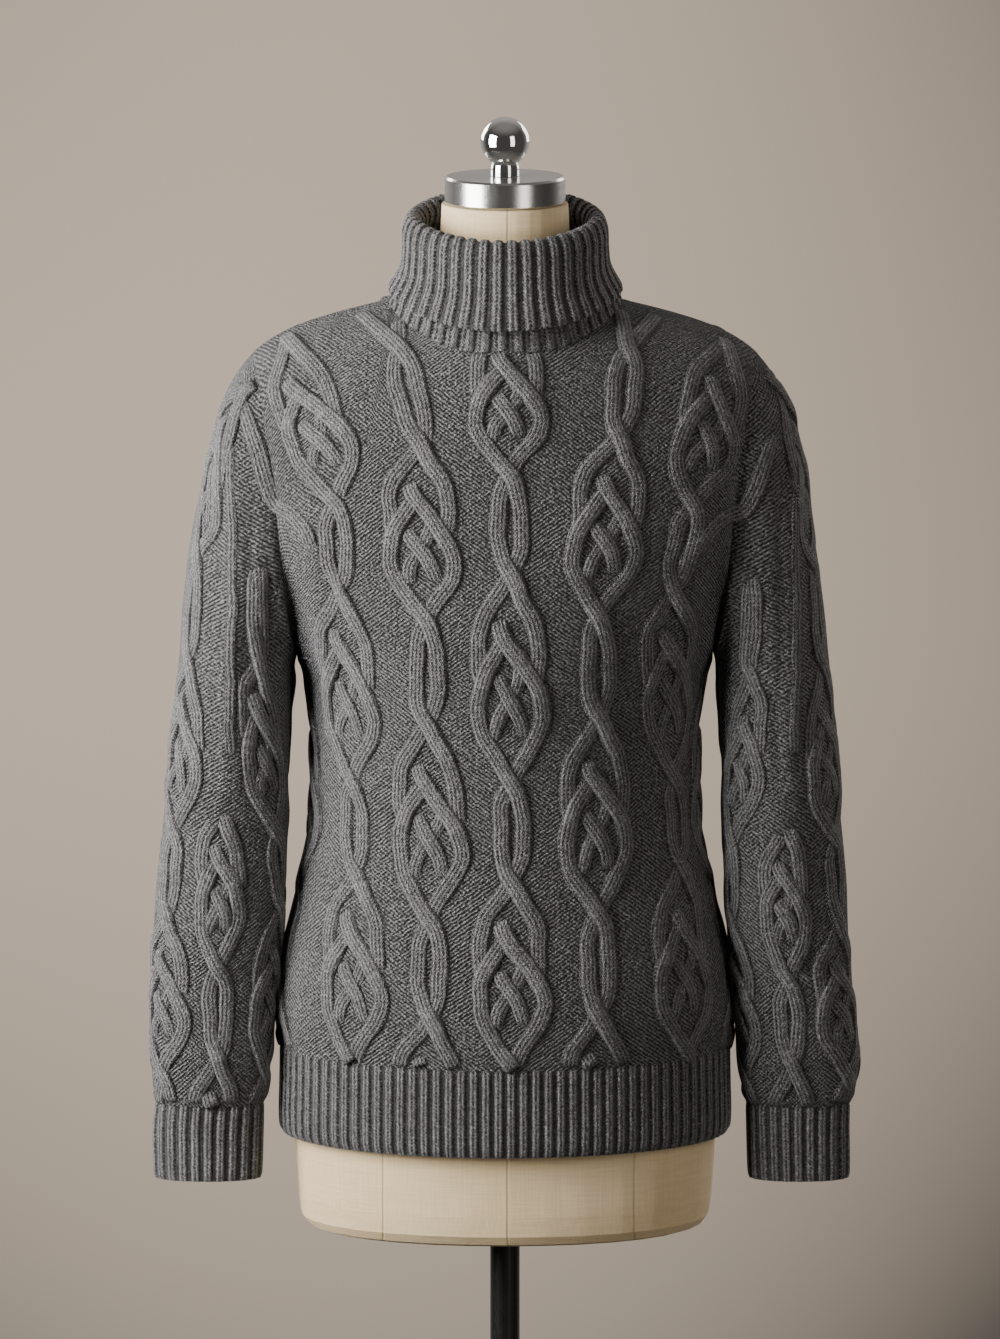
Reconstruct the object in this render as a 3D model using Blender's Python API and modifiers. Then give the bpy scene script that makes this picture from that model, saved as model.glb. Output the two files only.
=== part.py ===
"""A cable-knit roll-neck sweater on a limbless dress form and its stand.

Metres, +Z up, the garment faces -Y, and the origin is under the pole on the floor.
Left and right are the wearer's, so the left sleeve is at +X. Tables are in millimetres.
"""

import math
from collections import namedtuple

import bmesh
import bpy
from mathutils import Vector

MM = 0.001
FRONT, BACK = -1, 1
RIGHT, LEFT = -1, 1

# Cloth and seams, in millimetres.
PANEL_WALL = 2.6
RIB_WALL = 3.0
SEAM_GAP = 0.4

# Levels of the garment, in millimetres above the floor.
HEM_BOTTOM = 737.0
RIB_TOP = 803.0
ARMPIT = 1098.0
CHEST = 1209.0
CUFF_TOP = 762.0
CUFF_BOTTOM = 705.0

# The shoulder line, which the panels share: it falls from the middle to the shoulder points.
SHOULDER_X = 185.0
SHOULDER_Y = 6.0
SHOULDER_TOP = 1375.0
SHOULDER_FALL = 54.0
SHOULDER_CURVE = 1.7
SHOULDER_SPREAD = 1.14

# The neck seam, cut out of the yoke: its share of the panel's width and its reach from front to back.
NECK_SHARE = 0.5
NECK_REACH = {FRONT: -81.5, BACK: 84.0}

# The armhole's reach at the chest, and the arc that a panel covers below the armpit and at the chest.
ARMHOLE_REACH = {FRONT: -57.0, BACK: 60.0}
SIDE_ANGLE = math.radians(90)
CHEST_ANGLE = math.radians(69)

# How squarely the yoke turns over the shoulder, in the middle and at the armhole.
YOKE_RISE = {FRONT: (1.30, 1.15), BACK: (2.6, 1.2)}
YOKE_TURN = {FRONT: (1.85, 1.15), BACK: (1.7, 1.2)}

# Columns of one panel, under the neck and under each shoulder, and rows of its three stretches.
NECK_COLUMNS = 12
SHOULDER_COLUMNS = 4
HEM_ROWS = 10
ARMHOLE_ROWS = 5
YOKE_ROWS = 6
SLEEVE_COLUMNS = 2 * (ARMHOLE_ROWS + YOKE_ROWS)
COLLAR_COLUMNS = 4 * NECK_COLUMNS
FORM_COLUMNS = 32

BodyRow = namedtuple("BodyRow", "height half_width front back")
BODY = (
    BodyRow(730.0, 165.0, 110.0, 111.0),
    BodyRow(745.0, 167.5, 111.5, 113.0),
    BodyRow(775.0, 167.5, 112.0, 115.0),
    BodyRow(803.0, 167.0, 112.0, 117.0),
    BodyRow(815.0, 168.6, 113.5, 119.0),
    BodyRow(838.0, 169.3, 114.0, 120.0),
    BodyRow(867.0, 166.0, 112.0, 117.5),
    BodyRow(890.0, 161.0, 109.5, 113.0),
    BodyRow(912.0, 155.0, 107.0, 107.0),
    BodyRow(955.0, 146.5, 103.0, 98.0),
    BodyRow(1000.0, 142.6, 101.5, 93.0),
    BodyRow(1045.0, 143.0, 104.5, 92.5),
    BodyRow(1078.0, 146.0, 110.0, 95.0),
    BodyRow(1098.0, 153.5, 114.0, 97.5),
    BodyRow(1130.0, 160.0, 118.0, 101.5),
    BodyRow(1165.0, 164.0, 117.5, 105.5),
    BodyRow(1209.0, 168.0, 112.5, 109.0),
    BodyRow(1240.0, 171.0, 106.5, 110.0),
)

# One row for each ring of a sleeve below the armhole ring: its outermost and innermost points,
# its depth to the front and back, and how far the pressed crease stands out.
SleeveRow = namedtuple(
    "SleeveRow", "outer_height right_outer left_outer inner_height inner front back crease"
)
SLEEVE = (
    SleeveRow(1309.0, 195.0, 194.5, 1096.6, 154.5, 57.5, 60.0, 0.8),
    SleeveRow(1291.0, 205.5, 205.0, 1095.0, 155.3, 57.5, 59.5, 1.6),
    SleeveRow(1266.0, 214.5, 214.0, 1092.5, 156.4, 57.0, 58.5, 2.4),
    SleeveRow(1230.0, 222.8, 221.5, 1088.5, 157.4, 56.0, 57.0, 3.0),
    SleeveRow(1188.0, 231.5, 228.0, 1081.0, 158.0, 54.5, 55.0, 3.4),
    SleeveRow(1142.0, 237.5, 234.5, 1066.0, 158.6, 53.0, 53.0, 3.4),
    SleeveRow(1092.0, 241.5, 240.0, 1042.0, 159.4, 51.0, 51.0, 3.2),
    SleeveRow(1035.0, 247.0, 244.5, 1008.0, 160.0, 48.0, 48.0, 2.8),
    SleeveRow(979.0, 252.5, 248.5, 967.0, 160.8, 44.5, 45.0, 2.2),
    SleeveRow(926.0, 258.0, 253.0, 922.0, 162.6, 40.5, 41.5, 1.6),
    SleeveRow(871.0, 261.0, 254.5, 870.0, 167.6, 36.5, 37.5, 1.0),
    SleeveRow(820.0, 262.1, 259.2, 820.0, 172.2, 33.0, 34.0, 0.6),
    SleeveRow(790.0, 262.1, 262.1, 790.0, 174.0, 30.5, 31.5, 0.3),
    SleeveRow(772.0, 261.0, 260.0, 772.0, 176.6, 27.5, 28.5, 0.0),
    SleeveRow(762.0, 259.5, 257.0, 762.0, 178.8, 25.5, 26.5, 0.0),
)
CuffRow = namedtuple("CuffRow", "height right_outer left_outer inner front back")
CUFF = (
    CuffRow(762.0, 259.5, 256.0, 179.2, 25.0, 26.0),
    CuffRow(745.0, 261.4, 255.6, 179.6, 23.5, 24.5),
    CuffRow(722.0, 261.4, 256.0, 180.2, 22.5, 23.5),
    CuffRow(705.0, 260.8, 256.0, 181.0, 22.0, 23.0),
)
SLEEVE_ROUNDNESS = 2.15
CREASE_SPREAD = math.radians(22)
SLEEVE_DRIFT = ((1330.0, 3.0), (1180.0, -2.0), (1000.0, -10.0), (860.0, -16.0), (700.0, -18.0))

# The collar's mid-wall, from the neck seam up the stand, over the roll and down outside.
CollarRow = namedtuple("CollarRow", "half_width front back front_height side_height back_height")
COLLAR = (
    CollarRow(78.4, -74.8, 80.0, 1356.0, 1376.0, 1382.0),
    CollarRow(74.6, -70.4, 75.0, 1382.0, 1396.0, 1403.0),
    CollarRow(70.6, -65.8, 70.8, 1408.0, 1416.5, 1425.5),
    CollarRow(71.4, -66.2, 71.4, 1413.2, 1421.2, 1430.8),
    CollarRow(74.0, -68.8, 74.2, 1413.4, 1421.4, 1431.0),
    CollarRow(76.2, -71.4, 76.6, 1407.0, 1415.5, 1424.5),
    CollarRow(78.6, -75.6, 79.4, 1392.0, 1402.0, 1411.0),
    CollarRow(82.0, -81.4, 83.0, 1374.0, 1387.5, 1396.5),
    CollarRow(86.2, -90.0, 88.2, 1353.5, 1371.0, 1380.0),
)

# The dress form: rings with their own roundness, 2 for an ellipse and less for a pointed oval.
FormRow = namedtuple("FormRow", "height half_width front back roundness")
FORM = (
    FormRow(666.0, 140.0, 86.0, 88.0, 2.1),
    FormRow(668.5, 147.0, 93.0, 95.0, 2.1),
    FormRow(675.0, 152.0, 97.0, 99.0, 2.1),
    FormRow(690.0, 154.0, 98.5, 100.5, 2.1),
    FormRow(737.0, 157.0, 99.5, 101.5, 2.05),
    FormRow(803.0, 158.5, 102.0, 106.0, 2.0),
    FormRow(838.0, 162.5, 107.0, 113.0, 2.0),
    FormRow(867.0, 159.5, 105.0, 110.5, 2.0),
    FormRow(912.0, 149.0, 100.5, 100.5, 2.0),
    FormRow(955.0, 140.5, 96.5, 91.5, 2.0),
    FormRow(1000.0, 136.5, 95.0, 86.5, 2.0),
    FormRow(1045.0, 137.0, 98.0, 86.0, 2.0),
    FormRow(1080.0, 139.5, 103.5, 88.5, 2.0),
    FormRow(1110.0, 144.0, 109.0, 91.5, 2.0),
    FormRow(1140.0, 149.0, 111.5, 95.5, 2.1),
    FormRow(1175.0, 152.0, 109.0, 99.5, 2.2),
    FormRow(1209.0, 155.0, 105.0, 101.0, 2.3),
    FormRow(1240.0, 158.0, 98.5, 99.5, 2.2),
    FormRow(1268.0, 162.0, 90.0, 95.5, 2.0),
    FormRow(1290.0, 166.0, 81.5, 90.0, 1.8),
    FormRow(1305.0, 167.0, 75.0, 82.0, 1.6),
    FormRow(1316.0, 160.0, 70.0, 74.0, 1.45),
    FormRow(1328.0, 141.0, 66.0, 68.0, 1.35),
    FormRow(1340.0, 112.0, 62.0, 63.0, 1.4),
    FormRow(1350.0, 87.0, 58.0, 59.0, 1.6),
    FormRow(1360.0, 67.0, 54.0, 56.0, 1.8),
    FormRow(1374.0, 55.0, 50.0, 52.0, 2.0),
    FormRow(1395.0, 48.5, 47.5, 48.5, 2.0),
    FormRow(1431.7, 46.5, 46.5, 46.5, 2.0),
)
SOCKET_RADIUS = 11.4
SOCKET_TOP = 746.0

# The neck cap, finial, pole and base.
CAP_RADIUS = 44.5
CAP_BOTTOM = 1432.0
CAP_TOP = 1452.0
CAP_CHAMFER = 1.6
STEM_RADIUS = 10.5
BALL_RADIUS = 18.3
BALL_CENTRE = 1477.6
POLE_RADIUS = 11.0
POLE_BOTTOM = 4.4
BASE_RADIUS = 190.0
BASE_EDGE = 7.0
BASE_MIDDLE = 12.0
HUB_RADIUS = 26.0
HUB_TOP = 34.0


def along(rows, column, at):
    """The column's value at the place `at` of the rows' first column, through a smooth curve."""
    knots = [row[0] for row in rows]
    values = [getattr(row, column) for row in rows]
    if knots[0] > knots[-1]:
        knots.reverse()
        values.reverse()
    at = min(max(at, knots[0]), knots[-1])
    span = 0
    while span < len(knots) - 2 and at > knots[span + 1]:
        span += 1

    def slope(knot):
        before = max(knot - 1, 0)
        after = min(knot + 1, len(knots) - 1)
        return (values[after] - values[before]) / (knots[after] - knots[before])

    width = knots[span + 1] - knots[span]
    part = (at - knots[span]) / width
    return hermite(
        values[span], slope(span) * width, values[span + 1], slope(span + 1) * width, part
    )


def hermite(start, start_slope, end, end_slope, part):
    square, cube = part * part, part * part * part
    return (
        start * (2 * cube - 3 * square + 1)
        + start_slope * (cube - 2 * square + part)
        + end * (3 * square - 2 * cube)
        + end_slope * (cube - square)
    )


def oval(turn, roundness):
    """The place on an oval of half-widths 1: roundness 2 is a circle, more is boxier."""
    across, ahead = math.cos(turn), math.sin(turn)
    scale = (abs(across) ** roundness + abs(ahead) ** roundness) ** (-1 / roundness)
    return across * scale, ahead * scale


def ease(part):
    part = min(max(part, 0.0), 1.0)
    return part * part * (3 - 2 * part)


def body_section(face, across, height, edge_angle, rim_y, edge_y):
    """A point of the horizontal section at a height: across is -1 at the right edge, 1 at the left."""
    half = along(BODY, "half_width", height)
    depth = along(BODY, "front" if face == FRONT else "back", height)
    turn = across * edge_angle
    share = (math.cos(turn) - math.cos(edge_angle)) / (1 - math.cos(edge_angle))
    y = rim_y + (face * depth - rim_y) * share + (edge_y - rim_y) * abs(across) ** 8
    return Vector((half * math.sin(turn) / math.sin(edge_angle), y, height))


def lower_point(face, across, stage):
    """Stage 0 is the top of the hem rib, 1 the armpit and 2 the chest."""
    if stage <= 1:
        height = RIB_TOP + (ARMPIT - RIB_TOP) * stage
        return body_section(face, across, height, SIDE_ANGLE, 0.0, 0.0)
    turn = (stage - 1) * math.pi / 2
    height = ARMPIT + (CHEST - ARMPIT) * (1 - math.cos(turn))
    raised = ease((height - ARMPIT) / (CHEST - ARMPIT))
    angle = SIDE_ANGLE + (CHEST_ANGLE - SIDE_ANGLE) * raised
    reach = ARMHOLE_REACH[face]
    return body_section(face, across, height, angle, reach * raised, reach * math.sin(turn))


def shoulder_line(across):
    """The line where front and back meet over the shoulders, drawn on across the neck."""
    share = abs(across) ** SHOULDER_SPREAD
    height = SHOULDER_TOP - SHOULDER_FALL * share**SHOULDER_CURVE
    return Vector((SHOULDER_X * math.copysign(share, across), SHOULDER_Y, height))


def torso_point(face, across, stage):
    """A point of a panel: stage 2 to 3 is the yoke, from the chest to the shoulder line."""
    if stage <= 2:
        return lower_point(face, across, stage)
    start = lower_point(face, across, 2)
    end = shoulder_line(across)
    length = (end - start).length
    middle, edge = YOKE_RISE[face]
    rising = (start - lower_point(face, across, 1.99)).normalized()
    rising *= length * (middle + (edge - middle) * abs(across))
    middle, edge = YOKE_TURN[face]
    arriving = Vector((0.0, -face, 0.12)).normalized()
    arriving *= length * (middle + (edge - middle) * abs(across))
    return hermite(start, rising, end, arriving, stage - 2)


def neck_stage(face, across):
    """Where the neck seam cuts a panel: its reach to the front or back follows an oval."""
    if abs(across) >= NECK_SHARE:
        return 3.0
    share = math.sqrt(1 - (across / NECK_SHARE) ** 2)
    reach = SHOULDER_Y + (NECK_REACH[face] - SHOULDER_Y) * share
    low, high = 2.0, 3.0
    for _ in range(24):
        middle = (low + high) / 2
        if (torso_point(face, across, middle).y - reach) * face > 0:
            low = middle
        else:
            high = middle
    return high


def neck_seam(turn):
    """The neck seam: turn 0 at the front, a quarter at the wearer's left, a half at the back."""
    face = FRONT if math.cos(turn) > 0 else BACK
    across = NECK_SHARE * math.sin(turn)
    return torso_point(face, across, neck_stage(face, across))


def torso_normal(face, across, stage):
    step = 1e-3
    left = torso_point(face, min(across + step, 1), stage)
    right = torso_point(face, max(across - step, -1), stage)
    above = torso_point(face, across, min(stage + step, 3))
    below = torso_point(face, across, max(stage - step, 0))
    return ((left - right).cross(above - below) * -face).normalized()


def away_from_armhole(point):
    """The mitre at the armhole seam: straight out from the armhole's middle, in its own plane."""
    return Vector((0.0, point.y - SHOULDER_Y * 0.5, point.z - CHEST)).normalized()


def neck_mitre(turn):
    """The mitre at the neck seam, and the way the collar leaves it."""
    tilt = math.radians(22 + 16 * abs(math.sin(turn)))
    radial = Vector((math.sin(turn), -math.cos(turn), 0.0))
    upward = Vector((0.0, 0.0, 1.0))
    mitre = radial * math.cos(tilt) + upward * math.sin(tilt)
    return mitre, upward * math.cos(tilt) - radial * math.sin(tilt)


def material(name, colour, roughness, metallic=0.0):
    made = bpy.data.materials.new(name)
    made.use_nodes = True
    shader = made.node_tree.nodes["Principled BSDF"]
    shader.inputs["Base Color"].default_value = (*colour, 1.0)
    shader.inputs["Roughness"].default_value = roughness
    shader.inputs["Metallic"].default_value = metallic
    return made


def add_object(name, mesh, surface, collection):
    mesh.materials.append(surface)
    made = bpy.data.objects.new(name, mesh)
    collection.objects.link(made)
    return made


def mesh_of(name, built, smooth_angle=40):
    bmesh.ops.recalc_face_normals(built, faces=built.faces)
    mesh = bpy.data.meshes.new(name)
    built.to_mesh(mesh)
    built.free()
    mesh.shade_smooth()
    mesh.set_sharp_from_angle(angle=math.radians(smooth_angle))
    return mesh


def bridge_rows(built, rows, around):
    """Quads between rows of vertices. Rows that run all around are closed."""
    for lower, upper in zip(rows, rows[1:]):
        count = len(lower)
        for start in range(count if around else count - 1):
            end = (start + 1) % count
            built.faces.new((lower[start], lower[end], upper[end], upper[start]))


def cloth_wall(name, rows, around, surface, collection):
    """A wall from rows of (outside, inside) points. Rows that run all around make a tube."""
    built = bmesh.new()
    outside = [[built.verts.new(point * MM) for point, _ in row] for row in rows]
    inside = [[built.verts.new(point * MM) for _, point in row] for row in rows]
    bridge_rows(built, outside, around)
    bridge_rows(built, inside, around)
    bridge_rows(built, [outside[0], inside[0]], around)
    bridge_rows(built, [outside[-1], inside[-1]], around)
    if not around:
        for end in (0, -1):
            bridge_rows(
                built, [[row[end] for row in outside], [row[end] for row in inside]], False
            )
    return add_object(name, mesh_of(name, built), surface, collection)


def torso_stages():
    hem = [step / HEM_ROWS for step in range(HEM_ROWS + 1)]
    armhole = [1 + step / ARMHOLE_ROWS for step in range(1, ARMHOLE_ROWS + 1)]
    yoke = [2 + step / YOKE_ROWS for step in range(1, YOKE_ROWS + 1)]
    return hem + armhole + yoke


def panel_pair(face, across, stage):
    """The outside and inside of a panel, with mitred edges and half a gap at each seam."""
    top = stage == 3
    if stage > 2:
        stage = 2 + (stage - 2) * (neck_stage(face, across) - 2)
    point = torso_point(face, across, stage)
    outward = torso_normal(face, across, stage)
    if abs(across) == 1 and stage > 1:
        outward = away_from_armhole(point)
    if top and abs(across) <= NECK_SHARE:
        turn = math.asin(across / NECK_SHARE)
        outward = neck_mitre(turn if face == FRONT else math.pi - turn)[0]
    elif top:
        outward = Vector((0.38 * math.copysign(1, across), 0.0, 0.92)).normalized()
    if stage == 0:
        outward = Vector((outward.x, outward.y, 0.0)).normalized()
        point.z += SEAM_GAP / 2
    on_side_seam = abs(across) == 1 and stage <= 1
    if on_side_seam or (top and abs(across) >= NECK_SHARE):
        point.y += face * SEAM_GAP / 2
    return point, point - outward * PANEL_WALL


def panel_columns():
    """Places across a panel, -1 at the right edge and 1 at the left, even around the neck."""
    shoulder = [
        NECK_SHARE + (1 - NECK_SHARE) * step / SHOULDER_COLUMNS
        for step in range(1, SHOULDER_COLUMNS + 1)
    ]
    half = NECK_COLUMNS // 2
    turns = [step / half * math.pi / 2 for step in range(1 - half, half)]
    neck = [NECK_SHARE * math.sin(turn) for turn in turns]
    neck = [-NECK_SHARE] + neck + [NECK_SHARE]
    return [-place for place in reversed(shoulder)] + neck + shoulder


def build_panel(name, face, surface, collection):
    columns = panel_columns()
    rows = [[panel_pair(face, across, stage) for across in columns] for stage in torso_stages()]
    return cloth_wall(name, rows, False, surface, collection)


def build_hem_rib(name, face, surface, collection):
    """The rib strip under a panel, level at its hem, from side seam to side seam."""
    rows = []
    for height in (HEM_BOTTOM, 741.0, 757.0, 773.0, 789.0, RIB_TOP - SEAM_GAP / 2):
        row = []
        for across in panel_columns():
            point = body_section(face, across, height, SIDE_ANGLE, 0.0, 0.0)
            half = along(BODY, "half_width", height)
            depth = along(BODY, "front" if face == FRONT else "back", height)
            inward = Vector((point.x / half**2, point.y / depth**2, 0.0)).normalized()
            if abs(across) == 1:
                point.y += face * SEAM_GAP / 2
            row.append((point, point - inward * RIB_WALL))
        rows.append(row)
    return cloth_wall(name, rows, False, surface, collection)


def sleeve_drift(height):
    """How far forward or back of the pole the sleeve's middle hangs."""
    for (upper, before), (lower, after) in zip(SLEEVE_DRIFT, SLEEVE_DRIFT[1:]):
        if height >= lower:
            return before + (after - before) * ease((upper - height) / (upper - lower))
    return SLEEVE_DRIFT[-1][1]


def armhole_ring(side):
    """The armhole, from the shoulder down the front to the armpit and up the back."""
    stages = [3 - step / YOKE_ROWS for step in range(YOKE_ROWS)]
    stages += [2 - step / ARMHOLE_ROWS for step in range(ARMHOLE_ROWS)]
    ring = [torso_point(FRONT, side, stage) for stage in stages]
    ring.append(torso_point(FRONT, side, 1))
    ring += [torso_point(BACK, side, stage) for stage in reversed(stages[1:])]
    return ring


def sleeve_ring(side, outer, inner, front, back, crease, columns):
    """A ring through its outermost and innermost points, with a soft crease at front and back."""
    middle = (outer + inner) / 2
    half = (outer - inner) / 2
    ring = []
    for step in range(columns):
        turn = step / columns * 2 * math.pi
        along_x, along_y = oval(turn, SLEEVE_ROUNDNESS)
        reach = -front if along_y > 0 else back
        from_crease = (abs(abs(turn - math.pi) - math.pi / 2)) / CREASE_SPREAD
        stand = 1 + crease / front * math.exp(-from_crease * from_crease)
        point = middle + half * along_x
        point.y = sleeve_drift(point.z) + reach * abs(along_y) * stand
        ring.append(point)
    return ring


def ring_normals(rings, index, side):
    """Outward directions for one ring of a tube, from its neighbours."""
    count = len(rings[index])
    above = rings[max(index - 1, 0)]
    below = rings[min(index + 1, len(rings) - 1)]
    found = []
    for step in range(count):
        around = rings[index][(step + 1) % count] - rings[index][step - 1]
        found.append((around.cross(below[step] - above[step]) * side).normalized())
    return found


def build_sleeve(name, side, surface, collection):
    rings = [[point + Vector((side * SEAM_GAP, 0, 0)) for point in armhole_ring(side)]]
    for row in SLEEVE:
        out = row.right_outer if side == RIGHT else row.left_outer
        lift = SEAM_GAP / 2 if row.outer_height == CUFF_TOP else 0.0
        outer = Vector((side * out, 0.0, row.outer_height + lift))
        inner = Vector((side * row.inner, 0.0, row.inner_height + lift))
        rings.append(
            sleeve_ring(side, outer, inner, row.front, row.back, row.crease, SLEEVE_COLUMNS)
        )
    rows = []
    for index, ring in enumerate(rings):
        normals = ring_normals(rings, index, side)
        if index == 0:
            normals = [away_from_armhole(point) for point in ring]
        if index == len(rings) - 1:
            normals = [Vector((n.x, n.y, 0.0)).normalized() for n in normals]
        rows.append([(p, p - n * PANEL_WALL) for p, n in zip(ring, normals)])
    return cloth_wall(name, rows, True, surface, collection)


def build_cuff(name, side, surface, collection):
    rings = []
    for row in CUFF:
        out = row.right_outer if side == RIGHT else row.left_outer
        drop = SEAM_GAP / 2 if row.height == CUFF_TOP else 0.0
        outer = Vector((side * out, 0.0, row.height - drop))
        inner = Vector((side * row.inner, 0.0, row.height - drop))
        rings.append(
            sleeve_ring(side, outer, inner, row.front, row.back, 0.0, SLEEVE_COLUMNS)
        )
    rows = []
    for index, ring in enumerate(rings):
        normals = [
            Vector((n.x, n.y, 0.0)).normalized() for n in ring_normals(rings, index, side)
        ]
        rows.append([(p, p - n * RIB_WALL) for p, n in zip(ring, normals)])
    return cloth_wall(name, rows, True, surface, collection)


def collar_ring(row, columns):
    ring = []
    for step in range(columns):
        turn = step / columns * 2 * math.pi
        share = abs(math.cos(turn))
        end_y = row.front if math.cos(turn) > 0 else row.back
        end_z = row.front_height if math.cos(turn) > 0 else row.back_height
        side_y = (row.front + row.back) / 2
        y = side_y + (end_y - side_y) * share
        z = row.side_height + (end_z - row.side_height) * share**1.4
        ring.append(Vector((row.half_width * math.sin(turn), y, z)))
    return ring


def build_collar(surface, collection):
    """One tube, folded: up the stand, over the roll and down outside."""
    seam = []
    mitres = []
    for step in range(COLLAR_COLUMNS):
        turn = step / COLLAR_COLUMNS * 2 * math.pi
        mitre, leaving = neck_mitre(turn)
        mitres.append(mitre)
        seam.append(neck_seam(turn) + leaving * SEAM_GAP - mitre * RIB_WALL / 2)
    for step in range(1, COLLAR_COLUMNS, 2):
        # The panels meet the collar on straight chords, so it keeps to them too.
        seam[step] = (seam[step - 1] + seam[(step + 1) % COLLAR_COLUMNS]) / 2
    rings = [seam] + [collar_ring(row, COLLAR_COLUMNS) for row in COLLAR]
    rows = []
    for index, ring in enumerate(rings):
        normals = mitres if index == 0 else [-n for n in ring_normals(rings, index, -1)]
        rows.append([(p + n * RIB_WALL / 2, p - n * RIB_WALL / 2) for p, n in zip(ring, normals)])
    return cloth_wall("collar", rows, True, surface, collection)


def form_ring(row):
    ring = []
    for step in range(FORM_COLUMNS):
        ahead, across = oval(step / FORM_COLUMNS * 2 * math.pi, row.roundness)
        reach = -row.front if ahead > 0 else row.back
        ring.append(Vector((row.half_width * across, reach * abs(ahead), row.height)))
    return ring


def circle(radius, height, columns):
    turns = [step / columns * 2 * math.pi for step in range(columns)]
    return [Vector((radius * math.sin(t), -radius * math.cos(t), height)) for t in turns]


def build_form(surface, collection):
    """The torso with its neck block, and the blind socket that takes the pole."""
    built = bmesh.new()
    rings = [
        circle(SOCKET_RADIUS, SOCKET_TOP, FORM_COLUMNS),
        circle(SOCKET_RADIUS, FORM[0].height, FORM_COLUMNS),
    ]
    rings += [form_ring(row) for row in FORM]
    rows = [[built.verts.new(point * MM) for point in ring] for ring in rings]
    bridge_rows(built, rows, True)
    built.faces.new(rows[0])
    built.faces.new(rows[-1])
    return add_object("form_torso", mesh_of("form_torso", built), surface, collection)


def turned(name, profile, steps, surface, collection):
    """A turned piece: its half-profile runs from the axis, down the outer side, to the axis."""
    mesh = bpy.data.meshes.new(name)
    points = [(radius * MM, 0.0, height * MM) for radius, height in profile]
    mesh.from_pydata(points, [(i, i + 1) for i in range(len(points) - 1)], [])
    made = add_object(name, mesh, surface, collection)
    screw = made.modifiers.new("Turn", "SCREW")
    screw.steps = steps
    screw.render_steps = steps
    screw.use_merge_vertices = True
    screw.merge_threshold = 0.00001
    screw.use_smooth_shade = True
    return made


def build_neck_cap(surface, collection):
    profile = [
        (0.0, CAP_TOP),
        (CAP_RADIUS - CAP_CHAMFER, CAP_TOP),
        (CAP_RADIUS, CAP_TOP - CAP_CHAMFER),
        (CAP_RADIUS, CAP_BOTTOM + CAP_CHAMFER),
        (CAP_RADIUS - CAP_CHAMFER, CAP_BOTTOM),
        (0.0, CAP_BOTTOM),
    ]
    return turned("neck_cap", profile, 40, surface, collection)


def build_finial(surface, collection):
    """A ball on a short stem, which starts just above the cap."""
    join = math.asin(STEM_RADIUS * 0.93 / BALL_RADIUS)
    profile = []
    for step in range(11):
        turn = (math.pi - join) * step / 10
        radius = BALL_RADIUS * math.sin(turn)
        profile.append((radius, BALL_CENTRE + BALL_RADIUS * math.cos(turn)))
    profile[0] = (0.0, BALL_CENTRE + BALL_RADIUS)
    foot = CAP_TOP + SEAM_GAP
    profile += [(STEM_RADIUS, foot + 5.5), (STEM_RADIUS, foot), (0.0, foot)]
    return turned("finial", profile, 24, surface, collection)


def build_pole(surface, collection):
    built = bmesh.new()
    top = SOCKET_TOP - SEAM_GAP
    length = (top - POLE_BOTTOM) * MM
    bmesh.ops.create_cone(
        built, cap_ends=True, segments=32, depth=length,
        radius1=POLE_RADIUS * MM, radius2=POLE_RADIUS * MM,
    )
    made = add_object("stand_pole", mesh_of("stand_pole", built), surface, collection)
    made.location.z = (top + POLE_BOTTOM) / 2 * MM
    return made


def build_base(surface, collection):
    """A weighted disc with a hub, whose blind bore takes the pole."""
    bore = POLE_RADIUS + SEAM_GAP
    profile = [
        (0.0, POLE_BOTTOM - SEAM_GAP),
        (bore, POLE_BOTTOM - SEAM_GAP),
        (bore, HUB_TOP),
        (HUB_RADIUS - 3, HUB_TOP),
        (HUB_RADIUS, HUB_TOP - 3),
        (HUB_RADIUS, BASE_MIDDLE + 3),
        (HUB_RADIUS + 3, BASE_MIDDLE),
        (BASE_RADIUS - 8, BASE_EDGE + 1),
        (BASE_RADIUS - 2, BASE_EDGE - 0.5),
        (BASE_RADIUS, BASE_EDGE - 3),
        (BASE_RADIUS, 1.5),
        (BASE_RADIUS - 1.5, 0.0),
        (0.0, 0.0),
    ]
    return turned("stand_base", profile, 40, surface, collection)


def main():
    for old in list(bpy.data.objects):
        bpy.data.objects.remove(old)
    collection = bpy.data.collections.new("cable_knit_sweater")
    bpy.context.scene.collection.children.link(collection)

    knit = material("grey_wool_knit", (0.17, 0.16, 0.155), 0.95)
    rib = material("grey_wool_rib", (0.14, 0.13, 0.125), 0.95)
    linen = material("natural_linen", (0.62, 0.52, 0.38), 0.85)
    steel = material("brushed_steel", (0.55, 0.54, 0.52), 0.32, 1.0)
    chrome = material("polished_chrome", (0.80, 0.80, 0.80), 0.06, 1.0)
    black = material("black_painted_steel", (0.015, 0.015, 0.015), 0.4)

    build_panel("front", FRONT, knit, collection)
    build_panel("back", BACK, knit, collection)
    build_hem_rib("hem_rib_front", FRONT, rib, collection)
    build_hem_rib("hem_rib_back", BACK, rib, collection)
    build_sleeve("sleeve_right", RIGHT, knit, collection)
    build_sleeve("sleeve_left", LEFT, knit, collection)
    build_cuff("cuff_right", RIGHT, rib, collection)
    build_cuff("cuff_left", LEFT, rib, collection)
    build_collar(rib, collection)
    build_form(linen, collection)
    build_neck_cap(steel, collection)
    build_finial(chrome, collection)
    build_pole(black, collection)
    build_base(black, collection)


main()
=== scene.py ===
import math
from collections import namedtuple

import bpy
import numpy as np
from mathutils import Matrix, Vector
from mathutils.kdtree import KDTree


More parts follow.
